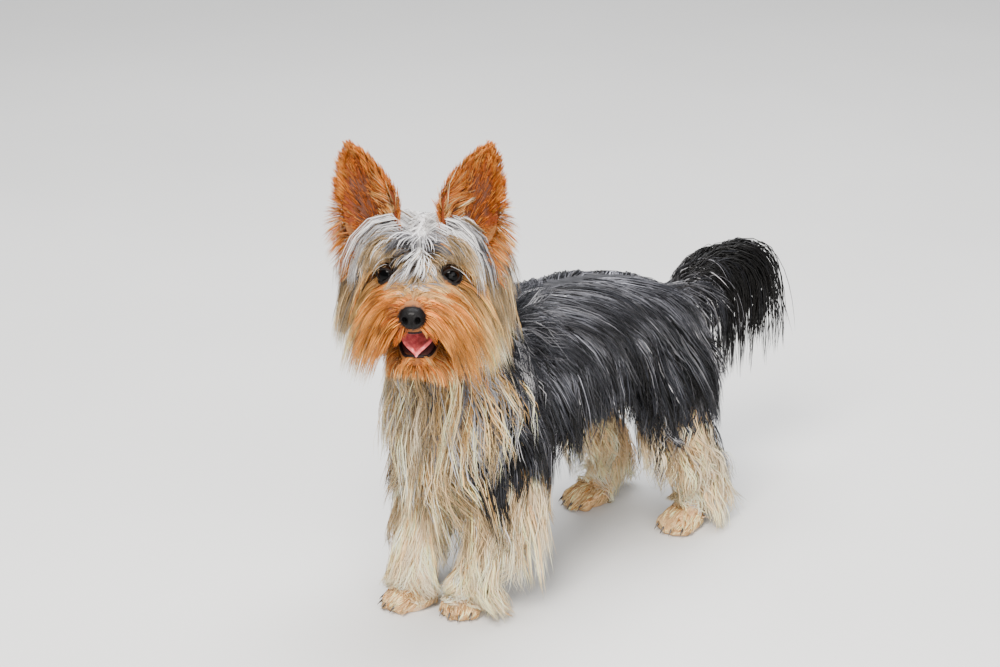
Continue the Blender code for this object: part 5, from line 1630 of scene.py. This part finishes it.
    def neck_coat(self, draw: np.random.Generator) -> Coat:
        """The bib of the throat, and the shorter hair of the nape."""
        along, angle = sow(NECK, self.neck, draw, 0.18, 1.0)
        out, _, ahead = NECK.ways(along, angle)
        share = 0.5 + 0.5 * np.sin(angle)
        lie = -ahead * 0.9 + out * 0.12 + DOWN * (0.5 * share)[:, None]
        length = (0.045 + 0.054 * share**1.5) * draw.uniform(0.72, 1.12, len(along))
        stand = draw.uniform(0.4, 1.0, len(along)) * (0.012 + 0.006 * share)
        light = ease(share, 0.48, 0.70)
        root = NECK.points(along, angle)
        streak = swell(root, 0.012, self.seed + 5, 0.5)
        patch = swell(root * FALLING, 0.022, self.seed + 9, 1.3)
        tone = tones(draw, len(along), {
            Tone.STEEL: 0.55 * (1 - light), Tone.GREY: (0.22 - 0.15 * light) * streak,
            Tone.SILVER: 0.04 + 0.08 * light, Tone.CREAM: 0.10 * light * patch,
            Tone.BLOND: 0.16 * light * patch, Tone.GOLD: 0.14 * light,
            Tone.BLACK: 0.20 * (1 - light), Tone.FAWN: 0.44 * light / patch,
        })
        seeds = self.seeds_on(NECK, along, angle, lie, length, stand, 0.20, tone)
        return Coat("coat_neck", seeds, draw, steps=6, width=0.00062, flat=0.26, clump=0.30,
                    lock=0.58, members=11, wave=0.0054, frizz=0.0010, gloom=0.16,
                    alike=0.85, vary=0.13)

    @staticmethod
    def head_fields(local: Array) -> tuple[Array, Array, Array]:
        """Reads the table of the head's hair at some places.

        Args:
            local: the places, in the head's own frame.

        Returns:
            The weight of each row, the lie, and length, stand and hang side by side.
        """
        along, angle, ways, lengths, stands, hangs, _ = zip(*HEAD_LIE)
        table = to_head(SKULL.points(np.array(along), np.radians(angle)))
        mirror = np.ones((len(local), 3))
        mirror[:, 0] = np.where(local[:, 0] < 0, -1, 1)
        table[:, 0] = np.abs(table[:, 0])
        apart = (((local * mirror)[:, None] - table[None]) ** 2).sum(axis=2)
        weight = (apart + 1.2e-6) ** -2.2
        weight /= weight.sum(axis=1, keepdims=True)
        sizes = np.stack((np.array(lengths) / 1000, np.array(stands) / 1000, hangs), 1)
        return weight, unit(weight @ np.array(ways) * mirror), weight @ sizes

    def head_coat(self, draw: np.random.Generator) -> Coat:
        """The fall of the crown, brows, temples, cheeks and moustache."""
        sizes = self.head_fields(to_head(SKULL.points(GRID_ALONG, GRID_ANGLE)))[2]
        weight = (0.03 / sizes[:, 0]) ** 0.75
        height = np.sin(GRID_ANGLE)
        for low, high, where, change in ((0.14, 0.36, height > 0.7, 2.2),
                                         (0.64, 0.86, height > 0.8, 1.4),
                                         (0.52, 0.95, height < -0.72, 0.0)):
            weight[(GRID_ALONG > low) & (GRID_ALONG < high) & where] *= change
        along, angle = sow(SKULL, self.head, draw, 0.02, 0.998, weight)
        local = to_head(SKULL.points(along, angle))
        count, (x, y, z) = len(local), local.T
        weight, lie, sizes = self.head_fields(local)
        cheek = (x < 0) & (y > 0.010) & (z < 0.006)
        lie[cheek] = unit(lie[cheek] + np.array((-0.14, 0.0, 0.0)))
        middle = (np.abs(x) < 0.0032) & (z > -0.01) & (draw.random(count) < 0.5)
        ridge = (np.abs(x) < 0.0050) & (z > -0.01) & (y < -0.017)
        for where, aside, back, up, long, high in ((middle, 0.4, -0.9, 0.0, 0.0110, 0.0020),
                                                   (ridge, 0.5, 0.6, 0.1, 0.0065, 0.0012)):
            way = np.stack((aside * np.sign(x), back + 0 * x, up + 0 * x), 1)
            lie[where] = unit(way[where])
            sizes[where, :2] = long, high
        tone = np.array([TONES.index(row[-1]) for row in HEAD_LIE])[pick(weight**0.75, draw)]
        length = sizes[:, 0] * draw.uniform(0.72, 1.14, count)
        stand = sizes[:, 1] * draw.uniform(0.45, 1.08, count)
        seeds = self.seeds_on(SKULL, along, angle, turned_in_head(lie), length, stand,
                              sizes[:, 2], tone, curl=0.55, cling=0.0, lift=0.10)
        bare = (z < -0.0238) & (y < 0.002) & (np.abs(x) < 0.012)
        for side in SIDES:
            bare |= before_eye(local, side, EYE_ROOM[0])
        rim = self.cap_seeds(SKULL, 420, draw, 0.60, 0.0085, 0.25,
                             {Tone.TAN: 0.6, Tone.RUST: 0.5})
        return Coat("coat_head", seeds.kept(~bare).joined(rim), draw, steps=5, width=0.00050,
                    flat=0.25, clump=0.30, lock=0.42, members=10, wave=0.0007, frizz=0.0006,
                    gloom=0.15, painted_gleam=0.22, alike=0.4, blend=1.2, vary=0.22)

    def jaw_coat(self, draw: np.random.Generator) -> Coat:
        """The beard."""
        weight = np.where(np.sin(GRID_ANGLE) > 0.10, 0.0, 1.0)
        weight[GRID_ALONG > 0.935] = 3.0
        along, angle = sow(JAW, self.jaw, draw, 0.05, 1.0, weight)
        out, _, _ = JAW.ways(along, angle)
        side = np.where(np.cos(angle) < 0, 1.0, -1.0)
        tip = ease(along, 0.9, 0.95)
        local = np.stack((side * 0.75, -0.12 - 0.7 * tip, np.full(len(along), -0.8)), 1)
        lie = turned_in_head(local) + out * 0.2
        length = draw.uniform(0.007, 0.011, len(along)) + 0.016 * np.abs(np.cos(angle)) ** 2
        tone = tones(draw, len(along), {Tone.TAN: 0.6, Tone.RUST: 0.15, Tone.GOLD: 0.3})
        seeds = self.seeds_on(JAW, along, angle, lie, length, 0.004, 0.3, tone)
        chin = self.cap_seeds(JAW, 260, draw, 0.0, 0.009, 0.8, {Tone.TAN: 0.6, Tone.RUST: 0.4})
        seeds = seeds.joined(chin)
        return Coat("coat_jaw", seeds, draw, steps=4, width=0.00046, clump=0.4, members=12,
                    frizz=0.0006)

    def leg_coat(self, draw: np.random.Generator, side: int, front: bool) -> Coat:
        """The bell of long hair round a leg, which flares out and down over the paw."""
        loft = (FRONT_LEGS if front else HIND_LEGS)[side]
        along, angle = sow(loft, self.front_leg if front else self.hind_leg, draw, 0.06, 0.95)
        root = loft.points(along, angle)
        out, _, _ = loft.ways(along, angle)
        count, z = len(along), root[:, 2]
        ahead, behind = ease(-out[:, 1], 0.1, 0.8), ease(out[:, 1], 0.1, 0.8)
        outward = np.clip(0.50 + 0.40 * side * out[:, 0] + 0.08 * behind - 0.15 * ahead, 0.22, 1)
        marks = (0.06, 0.30, 0.52, 0.74, 0.95)
        patch = swell(root, 0.020, self.seed + 10, 1.2)
        if front:
            long = np.interp(along, marks, (0.058, 0.062, 0.056, 0.034, 0.010))
            flare = np.interp(along, marks, (0.010, 0.014, 0.019, 0.015, 0.005))
            lie = DOWN + out * (0.26 * outward)[:, None] + BACK * (0.10 * behind)[:, None]
            low = ease(along, 0.50, 0.9)
            high = 1 - ease(along, 0.12, 0.42)
            # Fawn strands in patches among the cream, and near the top of the leg, are partly
            # painted shade.
            tone = tones(draw, count, {
                Tone.CREAM: 0.62 * patch, Tone.BLOND: 0.40 + 0.40 * low,
                Tone.FAWN: 0.12 * high / patch, Tone.GOLD: 0.05 / patch,
            })
            room = z - 0.0015 - 0.012 * ahead - 0.034 * behind * ease(z, 0.03, 0.06)
        else:
            low = 1 - ease(z + draw.normal(0, 0.003, count) + 0.016 * behind, 0.090, 0.103)
            long = np.interp(along, marks, (0.040, 0.036, 0.046, 0.036, 0.010))
            long = long + 0.020 * behind * low
            flare = np.interp(along, marks, (0.008, 0.009, 0.016, 0.020, 0.005))
            lie = DOWN + out * (0.3 * outward)[:, None]
            lie = lie + BACK * ((0.35 + 0.60 * behind) * low)[:, None]
            # Fawn strands in patches among the cream are partly painted shade.
            tone = tones(draw, count, {
                Tone.STEEL: 0.6 * (1 - low), Tone.BLACK: 0.15 * (1 - low),
                Tone.GREY: 0.14 * (1 - low), Tone.SILVER: 0.03 * (1 - low) + 0.06 * low,
                Tone.CREAM: 0.40 * low * patch, Tone.BLOND: 0.46 * low,
                Tone.FAWN: 0.14 * low / patch,
            })
            room = np.where(low < 0.5, z - 0.070, z - 0.0015 - 0.012 * ahead)
        length = np.minimum(long * draw.uniform(0.8, 1.14, count),
                            np.maximum(room, 0.005) * draw.uniform(1.0, 1.2, count))
        stand = (0.0025 + flare * outward) * draw.uniform(0.45, 1.05, count)
        seeds = self.seeds_on(loft, along, angle, lie, length, stand, 0.11, tone)
        name = f"coat_leg_{'front' if front else 'hind'}_{SIDES[side]}"
        return Coat(name, seeds, draw, steps=6, width=0.00068, flat=0.26, clump=0.32, lock=0.60,
                    members=11, wave=0.0056, frizz=0.0010, gloom=0.14, alike=0.85, blend=0.7,
                    vary=0.12)

    def tail_coat(self, draw: np.random.Generator) -> Coat:
        """The plume: long strands that spring off the tail and arch over and down."""
        along, angle = sow(TAIL, self.tail, draw, 0.06, 1.0)
        out, _, ahead = TAIL.ways(along, angle)
        below = ease(-out[:, 2], -0.2, 0.6)
        lie = ahead + out * 0.10 + BACK * 0.15 + DOWN * (0.5 * below * (1 - along))[:, None]
        long = 0.045 + 0.040 * ease(along, 0.0, 0.4) - 0.010 * ease(along, 0.7, 1.0)
        long = long * (1 + 0.25 * below)
        length = long * draw.uniform(0.62, 1.10, len(along))
        hang = 0.36 + 0.14 * below + draw.uniform(-0.06, 0.08, len(along))
        pale = 1 - ease(along, 0.08, 0.30)
        tone = tones(draw, len(along), {Tone.BLACK: 0.88, Tone.STEEL: 0.10 + 0.6 * pale,
                                        Tone.GREY: 0.02 + 0.4 * pale, Tone.SILVER: 0.08 * pale})
        seeds = self.seeds_on(TAIL, along, angle, lie, length, 0.002, hang, tone, cling=0.0)
        return Coat("coat_tail", seeds, draw, steps=9, width=0.0008, clump=0.84, lock=0.0,
                    members=15, wave=0.0008, frizz=0.0008, gloom=0.08)

    def ear_coat(self, draw: np.random.Generator, side: int) -> Coat:
        """Short hair on an ear, long pale hair at its root and a fringe along its edges."""
        count = self.ear
        edge = draw.random(count) < 0.44
        rim = edge & (draw.random(count) < 0.40)
        share = -0.12 + 1.12 * draw.random(count) ** np.where(edge, 0.95, 1.75)
        t = draw.uniform(-1, 1, count)
        t = np.where(edge, np.sign(t) * np.where(rim, 1.0, draw.uniform(0.86, 1.0, count)), t)
        behind = draw.random(count) < 0.42
        root = ear_points(side, share, t)
        upward = ear_points(side, share + 0.02, t) - ear_points(side, share - 0.02, t)
        across = ear_points(side, share, t + 0.05) - ear_points(side, share, t - 0.05)
        upward, across = unit(upward), unit(across)
        normal = unit(np.cross(upward, across))
        normal *= np.sign(normal @ turned_in_head(np.array((0.0, 1.0, 0.0))))[:, None]
        out = np.where(behind[:, None], normal, -normal)
        off = np.where(rim, draw.uniform(-0.4, 0.4, count), 0.5) * EAR_THICKNESS
        root = root + out * off[:, None]
        out = np.where(rim[:, None], across * np.sign(t)[:, None], out)
        low = 1 - ease(share, 0.22, 0.55)
        outer = ease(t, 0.15, 0.8) * low * np.where(edge, 1.0, 0.22)
        inner = ease(-t, 0.10, 0.7) * low * ~behind
        cup = (1 - ease(np.abs(t - 0.1), 0.30, 0.60)) * (1 - ease(share, 0.5, 0.7)) * ~behind
        drop = turned_in_head(np.array((side * 0.72, 0.05, -0.64)))
        lie = upward * 0.85 + across * (t * 0.55)[:, None]
        lie = lie * (1 - outer)[:, None] + drop * (outer * 1.1)[:, None]
        sweep = across * 0.62 + upward * 0.62 - normal * 0.2
        lie = lie * (1 - inner)[:, None] + sweep * inner[:, None]
        length = 0.0080 + 0.002 * draw.random(count) + 0.012 * outer * (1 - share) + 0.006 * inner
        length *= draw.uniform(0.7, 1.25, count) * (1 - 0.45 * ease(share, 0.8, 1.0))
        wild = edge & (t < -0.8) & (share < 0.40) & (share > 0.02) & (draw.random(count) < 0.035)
        length *= 1 - 0.45 * (~behind & (share < 0.16) & (t < 0.0))
        length = np.where(wild, draw.uniform(0.014, 0.026, count), length)
        lie = np.where(wild[:, None], upward * 0.95 - across * 0.16 - normal * 0.12, lie)
        pale = np.maximum(inner * 0.8 * (1 - ease(share, 0.1, 0.45)), outer * 0.55)
        # In the cup, fewer tan strands leave the hair darker, partly as painted shade of the
        # hollow.
        tone = tones(draw, count, {
            Tone.RUST: (0.75 - 0.50 * pale) * ~wild, Tone.TAN: (0.42 - 0.38 * cup) * ~wild,
            Tone.CREAM: 0.03 * pale * ~wild + 0.2 * wild, Tone.FAWN: 0.10 * pale + 0.3 * wild,
            Tone.GOLD: 0.45 * pale * ~wild + 0.4 * wild,
            Tone.BLACK: 0.015 * ~wild,
        })
        upwards = (share - EAR_START) / (1 - EAR_START)
        patch = np.stack((upwards, 0.25 + 0.25 * t + 0.5 * behind), 1)
        full = np.ones(count)
        stand = 0.0018 + 0.003 * outer + 0.004 * inner + 0.006 * wild
        seeds = Seeds(root, out, unit(lie), length, stand, 0.08 * full, tone, patch, 0.0, 0.14)
        bare = np.maximum(0.40 * cup, 1.0 * (~behind & (share < 0.05) & (t < 0.0)))
        seeds = seeds.kept(draw.random(count) > bare)
        return Coat("coat_ear_" + SIDES[side], seeds, draw, steps=4, width=0.00040, clump=0.20,
                    lock=0.15, members=8, frizz=0.0006, gloom=0.06)

    def paw_coat(self, draw: np.random.Generator, tree: BVHTree) -> Coat:
        """Short hair over the toes of all four feet."""
        roots = []
        for at, turn in FEET:
            spin = turn_about("Z", turn)
            theta = draw.uniform(0, math.tau, self.paw)
            rise = draw.uniform(0.05, 1, self.paw)
            flat = np.sqrt(1 - rise**2)
            ball = np.stack((flat * np.cos(theta), flat * np.sin(theta), rise), 1)
            ball *= PAW_FUR
            roots.append(np.array((*at, 0.0)) + ball @ spin.T)
        root = np.vstack(roots)
        height, outward = off_skin(tree, root)
        root = root - outward * height[:, None]
        keep = (np.abs(height) < 0.006) & (root[:, 2] > 0.0015) & (outward[:, 2] > -0.1)
        root, out = root[keep], outward[keep]
        forward = np.repeat([(math.sin(turn), -math.cos(turn), 0.0) for _, turn in FEET],
                            self.paw, axis=0)[keep]
        count = len(root)
        tone = tones(draw, count, {Tone.TAN: 0.15, Tone.BLOND: 0.65, Tone.GOLD: 0.30})
        patch = np.stack((np.repeat(np.arange(4) / 4, self.paw)[keep] + draw.random(count) / 4,
                          draw.random(count)), 1)
        full = np.ones(count)
        seeds = Seeds(root, out, unit(forward + DOWN * 0.5), 0.008 * draw.uniform(0.6, 1.2, count),
                      0.0012 * full, 0.15 * full, tone, patch)
        return Coat("coat_paws", seeds, draw, steps=3, width=0.0005, clump=0.4, members=8,
                    frizz=0.0004)

    def coats(self, tree: BVHTree) -> list[Coat]:
        """Every region's coat, its roots snapped onto the skin."""
        def draw(k: int) -> np.random.Generator:
            """Random numbers of a region's own."""
            return np.random.default_rng(self.seed * 100 + k)
        found = [self.torso_coat(draw(1)), self.neck_coat(draw(2)), self.head_coat(draw(3)),
                 self.jaw_coat(draw(4)), self.tail_coat(draw(5)),
                 self.leg_coat(draw(6), 1, True), self.leg_coat(draw(7), -1, True),
                 self.leg_coat(draw(8), 1, False), self.leg_coat(draw(9), -1, False)]
        for coat in found:
            height, outward = off_skin(tree, coat.seeds.root)
            near = np.abs(height) < ROOT_REACH
            coat.seeds = coat.seeds.kept(near)
            coat.seeds.root = coat.seeds.root - outward[near] * height[near, None]
        found += [self.ear_coat(draw(10), 1), self.ear_coat(draw(11), -1),
                  self.paw_coat(draw(12), tree)]
        return found


def blocked(path: Array) -> Array:
    """Marks strands that would cross an eye, the nose or the open mouth."""
    local = to_head(path)
    inside = before_eye(local, 1, EYE_ROOM) | before_eye(local, -1, EYE_ROOM)
    for centre, radii in FACE_ROOMS:
        inside |= np.linalg.norm((local - centre) / radii, axis=-1) < 1
    return inside.any(axis=1)


# Each light: its name, place, watts, size and colour.
LIGHTS = (
    ("key", (0.55, -1.1, 1.5), 66.0, 0.7, (1.0, 0.96, 0.90)),
    ("fill", (1.6, -0.3, 0.8), 18.0, 1.0, (0.97, 0.98, 1.0)),
    ("low", (1.0, -0.75, 0.35), 9.0, 0.7, (1.0, 0.97, 0.93)),
    ("top", (-0.15, 0.25, 1.7), 62.0, 1.2, (0.97, 0.98, 1.0)),
)
# The name of a finish that each region's hair is passed to wear with, which wear does not use.
COAT_SLOTS = {"torso": "dark_steel_coat", "neck": "silver_coat", "head": "tan_coat",
              "jaw": "tan_coat", "tail": "black_coat", "leg": "blond_coat", "ear": "tan_coat",
              "paws": "blond_coat"}


@dataclass
class Studio:
    """Camera, lights and floor."""

    azimuth: float = math.radians(44)
    elevation: float = math.radians(22)
    place: Triple = (1.1438, -1.224, 0.84)
    lens: float = 100.0

    def build(self) -> None:
        """Makes the camera, the lights and the floor."""
        sine, cosine = math.sin(self.azimuth), math.cos(self.azimuth)
        back = Vector((sine * math.cos(self.elevation), -cosine * math.cos(self.elevation),
                       math.sin(self.elevation)))
        right = Vector((cosine, sine, 0))
        lens = bpy.data.cameras.new("camera")
        lens.lens, lens.sensor_width, lens.clip_end = self.lens, 36.0, 50.0
        camera = bpy.data.objects.new("camera", lens)
        turn = Matrix((right, back.cross(right), back)).transposed().to_4x4()
        turn.translation = Vector(self.place) + Vector(SHIFT)
        camera.matrix_world = turn
        bpy.context.scene.collection.objects.link(camera)
        bpy.context.scene.camera = camera
        world = bpy.data.worlds.new("studio")
        world.use_nodes = True
        sky = world.node_tree.nodes["Background"].inputs
        sky["Color"].default_value, sky["Strength"].default_value = (0.93, 0.96, 1, 1), 0.50
        bpy.context.scene.world = world
        for light in LIGHTS:
            self.light(*light)
        self.floor()

    @staticmethod
    def light(name: str, place: Triple, power: float, size: float, colour: Triple) -> None:
        """Adds a soft square light that looks at the dog."""
        lamp = bpy.data.lights.new(name, "AREA")
        lamp.energy, lamp.size, lamp.color = power, size, colour
        made = bpy.data.objects.new(name, lamp)
        made.location = place
        aim = Vector((0, 0, 0.15)) - Vector(place)
        made.rotation_euler = aim.to_track_quat("-Z", "Y").to_euler()
        bpy.context.scene.collection.objects.link(made)

    @staticmethod
    def floor() -> None:
        """Adds the pale floor."""
        bpy.ops.mesh.primitive_plane_add(size=14.0, location=(0, 0, -0.0002))
        floor = bpy.context.active_object
        floor.name = "floor"
        bpy.ops.object.transform_apply(location=True, rotation=True, scale=True)
        floor.data.materials.append(FloorFinish().material())


def main() -> None:
    """Builds the studio, the skin, the face, the claws and the coat."""
    logging.basicConfig(level=logging.INFO, format="%(name)s %(message)s")
    Studio().build()
    body = Skin()
    skin, tree = body.build()
    skin.data.materials.append(SkinFinish().material())
    coats = Groomer().coats(tree)
    body.dress(skin, coats)
    wear(skin, "skin", "torso", "neck", "head", "jaw", "tail", "ear_left", "ear_right",
         "leg_front_left", "leg_front_right", "leg_hind_left", "leg_hind_right")
    Face().build()
    Claws().build()
    hair = HairFinish().material()
    for coat in coats:
        for piece in coat.build(tree, hair):
            wear(piece, COAT_SLOTS[coat.name.split("_")[1]])


if __name__ == "__main__":
    main()
